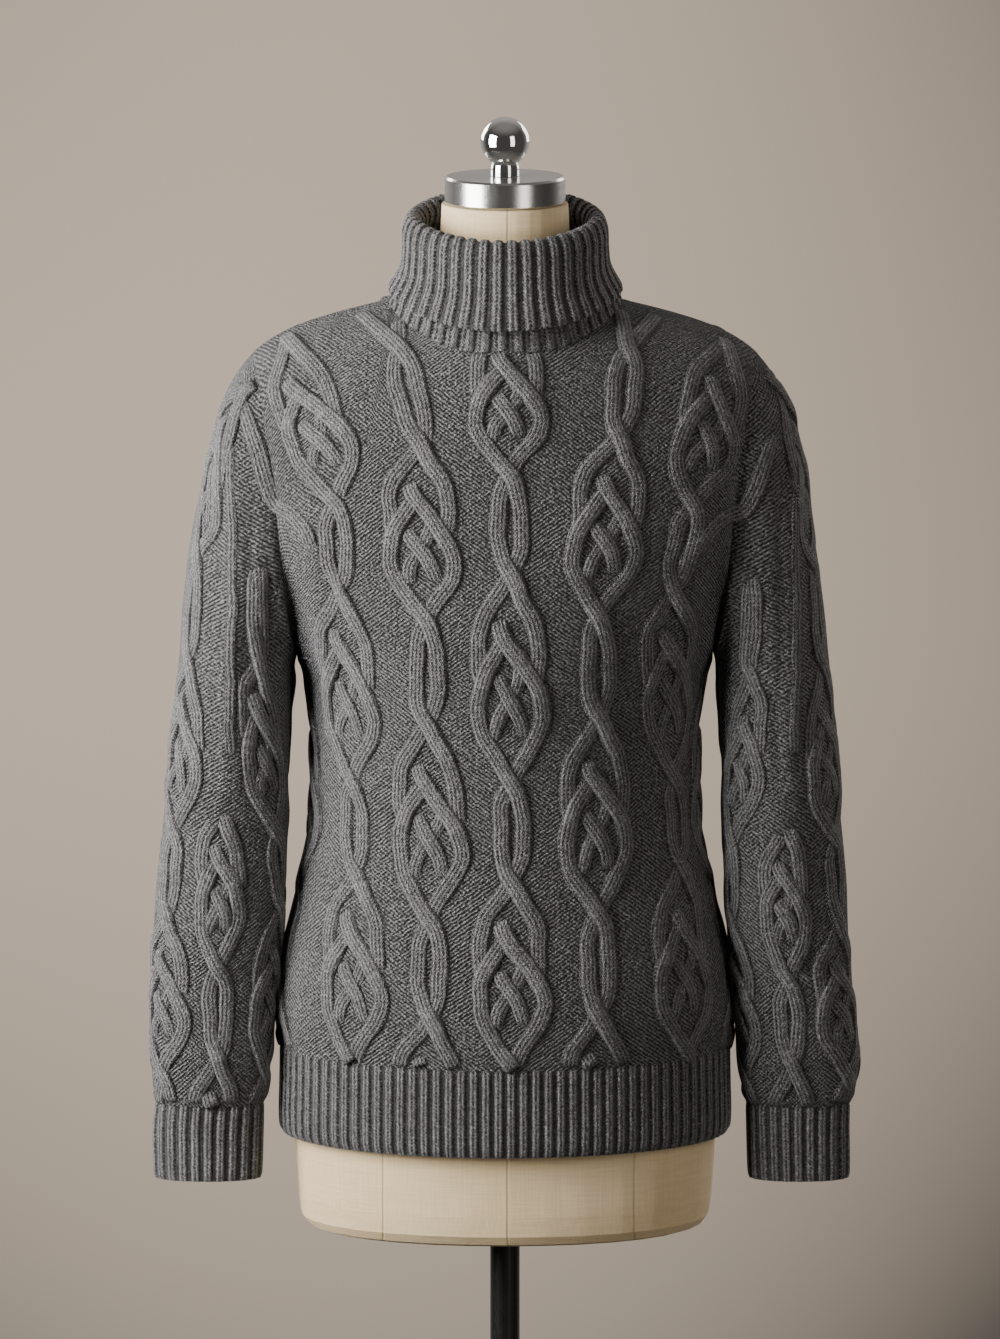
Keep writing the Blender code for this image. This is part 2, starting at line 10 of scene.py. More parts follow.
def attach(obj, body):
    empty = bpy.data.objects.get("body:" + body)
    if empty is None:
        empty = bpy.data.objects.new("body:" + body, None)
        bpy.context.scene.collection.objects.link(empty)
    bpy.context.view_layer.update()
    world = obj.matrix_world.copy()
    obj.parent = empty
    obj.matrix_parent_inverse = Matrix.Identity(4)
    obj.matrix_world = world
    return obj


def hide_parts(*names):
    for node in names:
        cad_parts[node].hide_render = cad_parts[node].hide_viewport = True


# The looks of the cable-knit sweater on its dress form. Metres, +Z up, the garment faces -Y,
# and left and right are the wearer's, so the left sleeve is at +X. Tables are in millimetres.

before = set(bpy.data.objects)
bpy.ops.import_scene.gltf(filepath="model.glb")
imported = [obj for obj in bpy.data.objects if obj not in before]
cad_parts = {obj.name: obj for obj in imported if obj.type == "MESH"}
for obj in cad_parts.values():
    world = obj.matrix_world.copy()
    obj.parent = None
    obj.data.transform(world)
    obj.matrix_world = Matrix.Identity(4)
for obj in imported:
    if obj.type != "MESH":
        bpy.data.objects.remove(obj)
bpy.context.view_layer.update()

MM = 0.001
FRONT, BACK = -1, 1
RIGHT, LEFT = -1, 1

# ---------------------------------------------------------------- the garment's own sizes

PANEL_WALL = 2.4
RIB_WALL = 2.2
# Heights from the floor, and the place, top and fall of the shoulder line.
HEM_BOTTOM, RIB_TOP, ARMPIT, CHEST = 737.0, 803.0, 1098.0, 1209.0
SHOULDER_X, SHOULDER_Y, SHOULDER_TOP, SHOULDER_FALL = 185.0, 6.0, 1375.0, 54.0
SHOULDER_SPREAD = 1.14
# The neck's share of the width, how far it and the armholes reach to the front and back, and
# how strongly the yoke rises from the chest and turns in at the shoulder, in the middle and at
# the edge.
NECK_SHARE = 0.5
NECK_REACH = {FRONT: -86.0, BACK: 84.0}
ARMHOLE_REACH = {FRONT: -57.0, BACK: 60.0}
SIDE_ANGLE, CHEST_ANGLE = math.radians(90), math.radians(69)
YOKE_RISE = {FRONT: (1.30, 1.15), BACK: (2.6, 1.2)}
YOKE_TURN = {FRONT: (1.85, 1.15), BACK: (1.7, 1.2)}
YOKE_STEPS, ARMHOLE_STEPS = 6, 5
SLEEVE_ROUNDNESS, SLEEVE_RADIUS = 2.15, 44.0
CREASE_SPREAD = math.radians(22)
SLEEVE_DRIFT = ((700.0, -18.0), (860.0, -16.0), (1000.0, -10.0), (1180.0, -2.0), (1330.0, 3.0))

BodyRow = namedtuple("BodyRow", "height half_width front back")
BODY = (
    BodyRow(730, 165, 110, 111),
    BodyRow(745, 167.5, 111.5, 113),
    BodyRow(775, 167.5, 112, 115),
    BodyRow(803, 167, 112, 117),
    BodyRow(815, 168.6, 113.5, 119),
    BodyRow(838, 169.3, 114, 120),
    BodyRow(867, 166, 112, 117.5),
    BodyRow(890, 161, 109.5, 113),
    BodyRow(912, 155, 107, 107),
    BodyRow(955, 146.5, 103, 98),
    BodyRow(1000, 142.6, 101.5, 93),
    BodyRow(1045, 143, 104.5, 92.5),
    BodyRow(1078, 146, 110, 95),
    BodyRow(1098, 153.5, 114, 97.5),
    BodyRow(1130, 160, 118, 101.5),
    BodyRow(1165, 164, 117.5, 105.5),
    BodyRow(1209, 168, 112.5, 109),
    BodyRow(1240, 171, 106.5, 110),
)

SleeveRow = namedtuple(
    "SleeveRow", "outer_height right_outer left_outer inner_height inner front back crease"
)
SLEEVE = (
    SleeveRow(1309, 195, 194.5, 1096.6, 154.5, 57.5, 60, 0.8),
    SleeveRow(1291, 205.5, 205, 1095, 155.3, 57.5, 59.5, 1.6),
    SleeveRow(1266, 214.5, 214, 1092.5, 156.4, 57, 58.5, 2.4),
    SleeveRow(1230, 222.8, 221.5, 1088.5, 157.4, 56, 57, 3),
    SleeveRow(1188, 231.5, 228, 1081, 158, 54.5, 55, 3.4),
    SleeveRow(1142, 237.5, 234.5, 1066, 158.6, 53, 53, 3.4),
    SleeveRow(1092, 241.5, 240, 1042, 159.4, 51, 51, 3.2),
    SleeveRow(1035, 247, 244.5, 1008, 160, 48, 48, 2.8),
    SleeveRow(979, 252.5, 248.5, 967, 160.8, 44.5, 45, 2.2),
    SleeveRow(926, 258, 253, 922, 162.6, 40.5, 41.5, 1.6),
    SleeveRow(871, 261, 254.5, 870, 167.6, 36.5, 37.5, 1),
    SleeveRow(820, 262.1, 259.2, 820, 172.2, 33, 34, 0.6),
    SleeveRow(790, 262.1, 262.1, 790, 174, 30.5, 31.5, 0.3),
    SleeveRow(772, 261, 260, 772, 176.6, 27.5, 28.5, 0),
    SleeveRow(762, 259.5, 257, 762, 178.8, 25.5, 26.5, 0),
)
CuffRow = namedtuple("CuffRow", "height right_outer left_outer inner front back")
CUFF = (
    CuffRow(762, 259.5, 256, 179.2, 25, 26),
    CuffRow(745, 261.4, 255.6, 179.6, 23.5, 24.5),
    CuffRow(722, 261.4, 256, 180.2, 22.5, 23.5),
    CuffRow(705, 260.8, 256, 181, 22, 23),
)

CollarRow = namedtuple("CollarRow", "half_width front back front_height side_height back_height")
COLLAR = (
    CollarRow(76.6, -77.5, 79.4, 1352.5, 1374.5, 1381),
    CollarRow(67.4, -65, 70, 1381, 1396.5, 1404.5),
    CollarRow(61.2, -58.6, 63, 1400.5, 1412.5, 1424.5),
    CollarRow(65, -62.4, 67, 1411, 1422.6, 1434.2),
    CollarRow(71.6, -69.2, 73.6, 1411, 1422.6, 1434),
    CollarRow(75.4, -74.2, 78.6, 1401.5, 1413, 1426),
    CollarRow(75.8, -76.8, 80.6, 1386, 1400, 1412),
    CollarRow(77.6, -81.8, 84.2, 1368.5, 1385.5, 1397),
    CollarRow(87, -92, 89.6, 1350, 1369, 1380),
)

# ---------------------------------------------------------------- curves and tables


def hermite(start, start_slope, end, end_slope, part):
    square, cube = part * part, part * part * part
    return (
        start * (2 * cube - 3 * square + 1)
        + start_slope * (cube - 2 * square + part)
        + end * (3 * square - 2 * cube)
        + end_slope * (cube - square)
    )


def through(knots, values, at):
    """Smooth curve through the values at the knots, read at each place of `at`."""
    knots = np.asarray(knots, float)
    values = np.asarray(values, float)
    if knots[0] > knots[-1]:
        knots, values = knots[::-1], values[::-1]
    slopes = np.empty_like(values)
    slopes[1:-1] = ((values[2:] - values[:-2]).T / (knots[2:] - knots[:-2])).T
    slopes[0] = (values[1] - values[0]) / (knots[1] - knots[0])
    slopes[-1] = (values[-1] - values[-2]) / (knots[-1] - knots[-2])
    at = np.clip(at, knots[0], knots[-1])
    span = np.clip(np.searchsorted(knots, at, side="right") - 1, 0, len(knots) - 2)
    width = knots[span + 1] - knots[span]
    part = (at - knots[span]) / width
    if values.ndim > 1:
        shape = part.shape + (1,) * (values.ndim - 1)
        part, width = part.reshape(shape), width.reshape(shape)
    return hermite(
        values[span], slopes[span] * width, values[span + 1], slopes[span + 1] * width, part
    )


def read(rows, name, at, key="height"):
    """A column of a table as a smooth curve over its heights."""
    return through([getattr(row, key) for row in rows], [getattr(row, name) for row in rows], at)


def ease(part):
    """A smooth rise from 0 to 1."""
    part = np.clip(part, 0.0, 1.0)
    return part * part * (3 - 2 * part)


def unit(vectors):
    return vectors / np.maximum(np.linalg.norm(vectors, axis=-1, keepdims=True), 1e-12)


def joined(x, y, z):
    x, y, z = np.broadcast_arrays(x, y, z)
    return np.stack([x, y, z], axis=-1).astype(float)


def running(steps, axis=0):
    """The running total of steps, starting from 0."""
    return np.insert(np.cumsum(steps, axis=axis), 0, 0.0, axis=axis)


def distances(points, axis=0):
    """How far each point is along its row or column of points."""
    return running(np.linalg.norm(np.diff(points, axis=axis), axis=-1), axis)


def bump_at(place, middle, spread):
    return np.exp(-(((place - middle) / spread) ** 2))


# ---------------------------------------------------------------- creases and soft folds

# A soft ridge, or with a negative height a trough: where its middle is, how long and wide it
# is, how far it stands out and how much it leans across for each millimetre it rises.
Fold = namedtuple("Fold", "x z length width height lean")
FRONT_FOLDS = (
    Fold(-137, 1150, 60, 8, 2.6, -0.10),
    Fold(-150, 1118, 46, 6, -2, -0.22),
    Fold(-124, 1176, 34, 5, -1.6, 0.05),
    Fold(-146, 1192, 22, 9, 2.2, -0.90),
    Fold(-128, 1060, 52, 6, 1.4, 0.04),
    Fold(137, 1158, 64, 9, 2.8, 0.12),
    Fold(148, 1122, 44, 6, -2.2, 0.20),
    Fold(121, 1170, 38, 5, -1.6, -0.04),
    Fold(148, 1196, 20, 8, 2, 0.90),
    Fold(126, 1050, 56, 6, 1.2, -0.05),
    Fold(-60, 866, 22, 46, 0.9, 0),
    Fold(66, 858, 20, 52, 0.8, 0),
    Fold(-104, 985, 16, 30, -1.1, 0.6),
    Fold(112, 978, 15, 34, -1.2, -0.6),
    Fold(-20, 1325, 12, 50, 0.8, 0),
)
BACK_FOLDS = (
    Fold(-118, 1180, 52, 9, 2.4, -0.20),
    Fold(-136, 1130, 44, 7, -2, -0.30),
    Fold(120, 1172, 56, 9, 2.2, 0.24),
    Fold(138, 1126, 40, 7, -2, 0.30),
    Fold(-30, 1002, 9, 62, 1.8, 0.04),
    Fold(24, 974, 8, 70, -1.7, -0.06),
    Fold(36, 945, 9, 58, 1.5, 0.02),
    Fold(-44, 1060, 12, 44, -1.2, 0),
    Fold(10, 1290, 60, 26, -1.2, 0),
)
# On a sleeve the place across is an angle in degrees: 0 outside, 90 front, 180 inside.
SleeveFold = namedtuple("SleeveFold", "turn z length width height lean")
# The pressed crease down a sleeve's front: the turn it lies at for some heights.
CREASE_PATH = {
    RIGHT: ((1010, 93), (1070, 88), (1144, 82), (1202, 68), (1252, 48), (1287, 22)),
    LEFT: ((1010, 76), (1070, 72), (1144, 60), (1202, 50), (1252, 28), (1284, 4)),
}
SLEEVE_FOLDS = (
    SleeveFold(112, 1040, 60, 9, -1.2, -0.10),
    SleeveFold(93, 1050, 40, 5, -1.6, 0),
    SleeveFold(60, 1030, 14, 40, -1.6, 0.9),
    SleeveFold(40, 1002, 12, 44, 1.4, 0.8),
    SleeveFold(130, 1008, 12, 36, -1.5, -0.8),
    SleeveFold(60, 880, 12, 50, 1.2, 0.6),
    SleeveFold(120, 858, 11, 44, -1.1, -0.7),
    SleeveFold(70, 800, 9, 60, 1.6, 0.2),
    SleeveFold(262, 1150, 120, 9, 1.6, 0.04),
    SleeveFold(285, 1024, 15, 46, -1.9, -0.8),
    SleeveFold(250, 990, 14, 50, 1.8, 0.8),
    SleeveFold(300, 900, 12, 44, -1.3, 0.7),
    SleeveFold(240, 850, 12, 46, 1.3, -0.6),
    SleeveFold(30, 1250, 46, 16, -1.2, 0.1),
    SleeveFold(330, 1240, 44, 18, -1.3, -0.1),
)


def folded(folds, across, height):
    """How far the folds move the cloth outward, with the slight unevenness of hung knit."""
    moved = 0.35 * np.sin(across / 19 + 1.7 * np.sin(height / 53)) * np.sin(height / 31 + 0.8)
    moved = moved + 0.25 * np.sin(across / 8.7 + height / 37) * np.sin(height / 13.0 - across / 29)
    for fold in folds:
        middle = fold[0] + fold.lean * (height - fold.z)
        strength = bump_at(height, fold.z, fold.length) * bump_at(across, middle, fold.width)
        moved = moved + fold.height * strength
    return moved


# ---------------------------------------------------------------- body and yoke


def body_section(face, across, height, edge_angle, rim_y, edge_y):
    """A level cut of the body, half of an oval: -1 to 1 across, and its ends moved to edge_y."""
    half = read(BODY, "half_width", height)
    depth = read(BODY, "front" if face == FRONT else "back", height)
    turn = across * edge_angle
    share = (np.cos(turn) - np.cos(edge_angle)) / (1 - np.cos(edge_angle))
    y = rim_y + (face * depth - rim_y) * share + (edge_y - rim_y) * np.abs(across) ** 8
    return joined(half * np.sin(turn) / np.sin(edge_angle), y, height)


def lower_point(face, across, stage):
    """Stage 0 is the top of the hem rib, 1 the armpit and 2 the chest."""
    turn = np.clip(stage - 1, 0, 1) * math.pi / 2
    height = RIB_TOP + (ARMPIT - RIB_TOP) * np.clip(stage, 0, 1)
    height = height + (CHEST - ARMPIT) * (1 - np.cos(turn))
    raised = ease((height - ARMPIT) / (CHEST - ARMPIT))
    angle = SIDE_ANGLE + (CHEST_ANGLE - SIDE_ANGLE) * raised
    reach = ARMHOLE_REACH[face]
    return body_section(face, across, height, angle, reach * raised, reach * np.sin(turn))


def shoulder_line(across):
    """The shoulder seam, which falls from the neck to the top of the armhole."""
    share = np.abs(across) ** SHOULDER_SPREAD
    height = SHOULDER_TOP - SHOULDER_FALL * (0.76 * share**1.3 + 0.24 * share**9)
    return joined(SHOULDER_X * np.copysign(share, across), SHOULDER_Y, height)


def torso_point(face, across, stage):
    """A point of a panel: stage 2 to 3 is the yoke, from the chest to the shoulder line."""
    across, stage = np.broadcast_arrays(np.asarray(across, float), np.asarray(stage, float))
    lower = lower_point(face, across, np.minimum(stage, 2))
    start = lower_point(face, across, np.full_like(across, 2.0))
    below = lower_point(face, across, np.full_like(across, 1.99))
    end = shoulder_line(across)
    length = np.linalg.norm(end - start, axis=-1, keepdims=True)
    side = np.abs(across)[..., None]
    middle, edge = YOKE_RISE[face]
    rising = unit(start - below) * length * (middle + (edge - middle) * side)
    middle, edge = YOKE_TURN[face]
    arriving = unit(np.array([0.0, -face, 0.12])) * length * (middle + (edge - middle) * side)
    part = np.clip(stage - 2, 0, 1)[..., None]
    yoke = hermite(start, rising, end, arriving, part)
    return np.where(stage[..., None] <= 2, lower, yoke)


def neck_stage(face, across):
    """Where the neck seam cuts a panel: its reach to the front or back follows an oval."""
    across = np.asarray(across, float)
    share = np.sqrt(np.clip(1 - (across / NECK_SHARE) ** 2, 0, 1))
    reach = SHOULDER_Y + (NECK_REACH[face] - SHOULDER_Y) * share
    low, high = np.full_like(across, 2.0), np.full_like(across, 3.0)
    for _ in range(24):
        middle = (low + high) / 2
        outside = (torso_point(face, across, middle)[..., 1] - reach) * face > 0
        low, high = np.where(outside, middle, low), np.where(outside, high, middle)
    return np.where(np.abs(across) >= NECK_SHARE, 3.0, high)


def worn_torso(face, across, stage):
    """A point of a panel with its soft folds."""
    step = 2e-3
    across, stage = np.broadcast_arrays(np.asarray(across, float), np.asarray(stage, float))
    point = torso_point(face, across, stage)
    left = torso_point(face, np.minimum(across + step, 1), stage)
    right = torso_point(face, np.maximum(across - step, -1), stage)
    above = torso_point(face, across, np.minimum(stage + step, 3))
    below = torso_point(face, across, np.maximum(stage - step, 0))
    outward = unit(np.cross(left - right, above - below) * -face)
    folds = FRONT_FOLDS if face == FRONT else BACK_FOLDS
    moved = folded(folds, point[..., 0], point[..., 2])
    rim = 1 - ease((np.abs(across) - 0.93) / 0.07)
    ends = ease(stage / 0.05) * ease((3 - stage) / 0.12)
    return point + outward * (moved * rim * ends)[..., None]


# ---------------------------------------------------------------- sleeves and cuffs


def oval(turn, roundness):
    across, ahead = np.cos(turn), np.sin(turn)
    scale = (np.abs(across) ** roundness + np.abs(ahead) ** roundness) ** (-1 / roundness)
    return across * scale, ahead * scale


def armhole(side, turn):
    """The armhole seam, from the shoulder down the front to the armpit and up the back."""
    half = YOKE_STEPS + ARMHOLE_STEPS
    place = np.mod(turn / (2 * math.pi), 1.0) * 2 * half
    down = np.where(place <= half, place, 2 * half - place)
    stage = np.where(
        down <= YOKE_STEPS, 3 - down / YOKE_STEPS, 2 - (down - YOKE_STEPS) / ARMHOLE_STEPS
    )
    front = torso_point(FRONT, np.full_like(stage, side), stage)
    back = torso_point(BACK, np.full_like(stage, side), stage)
    return np.where((place <= half)[..., None], front, back)


def outer_of(row, side):
    return row.right_outer if side == RIGHT else row.left_outer


def tube_ring(side, outer, outer_z, inner, inner_z, front, back, crease, turn):
    """A slanting cut of a sleeve or cuff, drawn out where its pressed creases are."""
    across, ahead = oval(turn, SLEEVE_ROUNDNESS)
    middle_x, half_x = side * (outer + inner) / 2, side * (outer - inner) / 2
    middle_z, half_z = (outer_z + inner_z) / 2, (outer_z - inner_z) / 2
    reach = np.where(ahead > 0, -front, back)
    wrapped = np.mod(turn, 2 * math.pi)
    from_crease = np.abs(np.abs(wrapped - math.pi) - math.pi / 2) / CREASE_SPREAD
    stand = 1 + crease / front * np.exp(-from_crease * from_crease)
    height = middle_z + half_z * across
    drift = through(*zip(*SLEEVE_DRIFT), height)
    return joined(middle_x + half_x * across, drift + reach * np.abs(ahead) * stand, height)


def outward_of(points, facing):
    return unit(np.cross(np.gradient(points, axis=1), np.gradient(points, axis=0)) * facing)


# ---------------------------------------------------------------- a cloth that things lie on


class Cloth:
    """A fine grid of points on the outside of the cloth, read by row and distance across."""

    keyed_by_turn = False

    def __init__(self, across, points, facing):
        self.across = across
        self.points = points
        self.outward = outward_of(points, facing)
        reach = distances(points, 1)
        zero = np.array([np.interp(0.0, across, row) for row in reach])
        self.reach = reach - zero[:, None]
        self.last = len(points) - 1

    def line(self, place_at):
        """The row, height and reach of a line whose place across is a function of height."""
        heights = np.full(self.last + 1, self.points[..., 2].mean())
        columns = np.arange(len(self.across))
        for _ in range(12):
            places = place_at(heights)
            found = []
            for row, place in enumerate(places):
                key = self.across if self.keyed_by_turn else self.points[row, :, 0]
                found.append(np.interp(place, key, columns))
            found = np.array(found)
            heights = self.sample(np.arange(self.last + 1.0), found, self.points)[..., 2]
        reaches = self.sample(np.arange(self.last + 1.0), found, self.reach)
        return heights, reaches

    def sample(self, rows, columns, grid):
        """The grid read between its rows and columns."""
        low_row = np.clip(np.floor(rows).astype(int), 0, self.last - 1)
        low_column = np.clip(np.floor(columns).astype(int), 0, len(self.across) - 2)
        row_part, column_part = rows - low_row, columns - low_column
        if grid.ndim == 3:
            row_part, column_part = row_part[..., None], column_part[..., None]
        upper = grid[low_row, low_column] * (1 - column_part)
        upper = upper + grid[low_row, low_column + 1] * column_part
        lower = grid[low_row + 1, low_column] * (1 - column_part)
        lower = lower + grid[low_row + 1, low_column + 1] * column_part
        return upper * (1 - row_part) + lower * row_part

    def columns_at(self, rows, reaches):
        """The columns that are so far across, measured along the cloth."""
        columns = np.arange(len(self.across))
        low = np.clip(np.floor(rows).astype(int), 0, self.last - 1)
        part = rows - low
        found = []
        for row, share, reach in zip(low, part, reaches):
            above = np.interp(reach, self.reach[row], columns)
            below = np.interp(reach, self.reach[row + 1], columns)
            found.append(above * (1 - share) + below * share)
        return np.array(found)


class TurnedCloth(Cloth):
    """A cloth whose columns are read by their turn instead of their place across."""

    keyed_by_turn = True


def panel_cloth(face):
    across = np.linspace(-1, 1, 161)
    stages = np.concatenate([np.linspace(0, 2, 150), np.linspace(2, 3, 101)[1:]])[::-1]
    points = worn_torso(face, across[None, :], stages[:, None])
    made = Cloth(across, points, face)
    made.stages = stages
    return made


def side_cloth(side):
    """Below the armpit, from the front round the side seam to the back."""
    places = np.linspace(-1, 1, 141)
    stages = np.linspace(0, 1, 120)[::-1]
    across = side * (1 - np.abs(places))[None, :]
    front = worn_torso(FRONT, across, stages[:, None])
    back = worn_torso(BACK, across, stages[:, None])
    return TurnedCloth(places, np.where((places <= 0)[None, :, None], front, back), -side)


def sleeve_cloth(side):
    """A sleeve from the armhole to the cuff, with its folds and its pressed crease."""
    turns = np.radians(np.linspace(-100, 460, 281))
    rows = np.linspace(0, len(SLEEVE), 260)
    rings = [armhole(side, turns)]
    for row in SLEEVE:
        start = (side, outer_of(row, side), row.outer_height, row.inner, row.inner_height)
        rings.append(tube_ring(*start, row.front, row.back, row.crease, turns))
    points = through(np.arange(len(rings)), np.array(rings), rows)
    outward = outward_of(points, side)
    degrees = np.mod(np.degrees(turns), 360)[None, :]
    moved = folded(SLEEVE_FOLDS, degrees, points[..., 2])
    heights = points[..., 2]
    from_crease = degrees - np.interp(heights, *zip(*CREASE_PATH[side]))
    along = ease((heights - 985) / 60) * ease((1305 - heights) / 60)
    moved = moved + along * 2.3 * np.exp(-np.abs(from_crease / 9.5) ** 2.6)
    moved = moved - along * 0.8 * bump_at(from_crease, 15, 3.5)
    moved = moved * ease(rows / 3.0)[:, None] * ease((len(SLEEVE) - rows) / 0.5)[:, None]
    points = points + outward * moved[..., None]
    return TurnedCloth(np.degrees(turns), points, side)


# ---------------------------------------------------------------- the cables

# One strand's way through a stretch of the cable: how far down it (0 to 1), how far across
# from the middle, how far it is lifted over or sunk under, and its width against the usual.
Step = namedtuple("Step", "down across lift width", defaults=(0.0, 1.0))
TWIN_LEFT = (
    Step(0.10, -4.2, -0.4), Step(0.26, -7.5), Step(0.50, -8.1),
    Step(0.74, -7.5, 0.2), Step(0.90, -4.2, 1.2),
)
TWIN_RIGHT = (
    Step(0.10, 4.2, 1.2), Step(0.26, 7.5, 0.2), Step(0.50, 8.1),
    Step(0.74, 7.5), Step(0.90, 4.2, -0.4),
)
OVER, UNDER = 1.9, -1.2
# The outer strands open the lozenge and end halfway down it.
OUTER_RIGHT = (
    Step(0.06, 4.4, 1.7), Step(0.12, 8.6, 1.4), Step(0.20, 15.2, 0.6),
    Step(0.27, 18.6), Step(0.35, 19.6), Step(0.43, 19.6),
    Step(0.50, 19.2, -0.2), Step(0.57, 19.4, -0.8, 0.95),
)
OUTER_LEFT = (
    Step(0.06, -5.0, -0.6), Step(0.12, -11.5, -0.1), Step(0.20, -20.0),
    Step(0.28, -23.0), Step(0.36, -23.4), Step(0.44, -23.0, -0.1),
    Step(0.50, -22.2, -0.3), Step(0.57, -22.6, -1.0, 0.95),
)
# The inner strands cross at its tip, pass over the ends of the outer ones and close it.
INNER_RIGHT = (
    Step(0.17, -13.0, -0.8, 0.75), Step(0.215, -9.8, 0.3, 0.92), Step(0.28, -6.2, 1.2),
    Step(0.34, -0.8, 1.7), Step(0.41, 6.8, 1.7), Step(0.48, 13.8, 1.8),
    Step(0.55, 19.2, 1.3), Step(0.62, 22.6, 0.5), Step(0.69, 23.2),
    Step(0.77, 19.4), Step(0.86, 10.8), Step(0.94, 4.0, -0.4),
)
INNER_LEFT = (
    Step(0.25, 0.6, -1.6, 0.80), Step(0.32, -5.2, -0.4, 0.95), Step(0.38, -11.2, 0.6),
    Step(0.46, -18.2, 1.6), Step(0.54, -22.6, 1.2), Step(0.62, -24.0, 0.3),
    Step(0.70, -23.4), Step(0.78, -19.8), Step(0.87, -12.4, 0.3),
    Step(0.94, -5.6, 1.3),
)
# The small cross inside.
SMALL_OVER = (
    Step(0.415, -12.4, -2.6, 0.45), Step(0.45, -12.0, -0.4, 0.66), Step(0.50, -9.4, 0.6, 0.80),
    Step(0.56, -4.0, 1.2, 0.90), Step(0.62, 1.6, 1.3, 0.92), Step(0.68, 5.6, 0.7, 0.86),
    Step(0.74, 8.0, 0.1, 0.78), Step(0.80, 8.8, -0.6, 0.64), Step(0.845, 8.4, -2.6, 0.40),
)
SMALL_UNDER = (
    Step(0.36, 6.4, -2.6, 0.45), Step(0.395, 7.4, 0.0, 0.66), Step(0.45, 8.0, 1.0, 0.78),
    Step(0.51, 5.6, 0.6, 0.82), Step(0.57, 1.0, -0.3, 0.78), Step(0.63, -4.6, -0.2, 0.78),
    Step(0.69, -9.2, 0.7, 0.84), Step(0.76, -11.4, 0.6, 0.76), Step(0.82, -11.4, -0.4, 0.62),
    Step(0.86, -10.8, -2.6, 0.40),
)
STRAND_WIDTH = 13.4
STRAND_HEIGHT = 3.2
STRAND_SIDES = 10
STRAND_STEP = 2.8
STRAND_SHIFT = 17.3  # between the stitches of one strand and the next
STRAND_SQUARENESS = 2.9
# How an end sinks in: over what length, how deep, and how much narrower it gets.
FREE_END, SEAM_END = (15.0, 3.2, 0.40), (5.0, 1.0, 0.06)
SHOULDER_SINK_HEIGHT, SHOULDER_SINK_X = 1310.0, 55.0

# A column of cable: its place across at some heights, the heights of its crossings from the
# top, whether the first stretch between two crossings is the plain twin or the lozenge, how
# wide its lozenges and its twins are against the usual, and how wide its strands.
Column = namedtuple("Column", "places crossings first open twin strand", defaults=(1.0, 1.0, 1.0))
FRONT_COLUMNS = (
    Column(
        ((803, 6), (940, 5), (1010, 5), (1170, 4), (1250, 3), (1360, 4)),
        (1440, 1358, 1247, 1174, 1016, 944, 806, 735), "twin",
    ),
    Column(
        ((803, -55.5), (914, -55.5), (985, -54), (1060, -57), (1138, -57), (1200, -61),
         (1271, -62), (1300, -69), (1334, -78), (1365, -96)),
        (1470, 1334, 1268, 1138, 1060, 914, 843, 700), "lozenge",
    ),
    Column(
        ((803, 69), (985, 68), (1063, 69), (1141, 68), (1210, 76), (1276, 83), (1300, 87),
         (1334, 90), (1365, 104)),
        (1470, 1332, 1274, 1141, 1064, 917, 845, 700), "lozenge",
    ),
    Column(
        ((803, -113), (870, -111), (945, -110), (1011, -112), (1085, -115), (1158, -121),
         (1223, -124), (1262, -133), (1300, -148), (1333, -160)),
        (1400, 1334, 1223, 1158, 1011, 945, 804, 735), "twin",
    ),
    Column(
        ((803, 136), (870, 133), (945, 129), (1011, 124), (1085, 122), (1158, 123),
         (1219, 137), (1262, 149), (1300, 157), (1333, 162)),
        (1400, 1332, 1219, 1158, 1012, 947, 806, 735), "twin",
    ),
)
BACK_COLUMNS = (
    Column(
        ((803, 0), (1000, 0), (1360, 0)),
        (1520, 1385, 1312, 1168, 1095, 948, 876, 730), "lozenge",
    ),
    Column(
        ((803, -64), (1000, -58), (1200, -66), (1300, -74), (1365, -80)),
        (1450, 1372, 1240, 1168, 1022, 950, 806, 735), "twin",
    ),
    Column(
        ((803, 64), (1000, 58), (1200, 66), (1300, 74), (1365, 80)),
        (1450, 1370, 1238, 1166, 1020, 948, 804, 735), "twin",
    ),
    Column(
        ((803, -124), (900, -118), (1000, -107), (1100, -116), (1200, -130), (1300, -148),
         (1340, -158)),
        (1480, 1330, 1262, 1128, 1056, 912, 842, 700), "lozenge",
    ),
    Column(
        ((803, 124), (900, 118), (1000, 107), (1100, 116), (1200, 130), (1300, 148),
         (1340, 158)),
        (1480, 1332, 1264, 1130, 1058, 914, 844, 700), "lozenge",
    ),
)
# The side columns lie near the side seam, whose place across is 0, the front below it.
SIDE_COLUMNS = {
    RIGHT: Column(
        ((803, -0.10), (870, -0.09), (1000, -0.03), (1098, 0.0)),
        (1230, 1150, 1072, 926, 852, 700), "lozenge",
    ),
    LEFT: Column(
        ((803, -0.06), (870, -0.05), (1000, -0.02), (1098, 0.0)),
        (1230, 1156, 1076, 930, 858, 700), "lozenge",
    ),
}
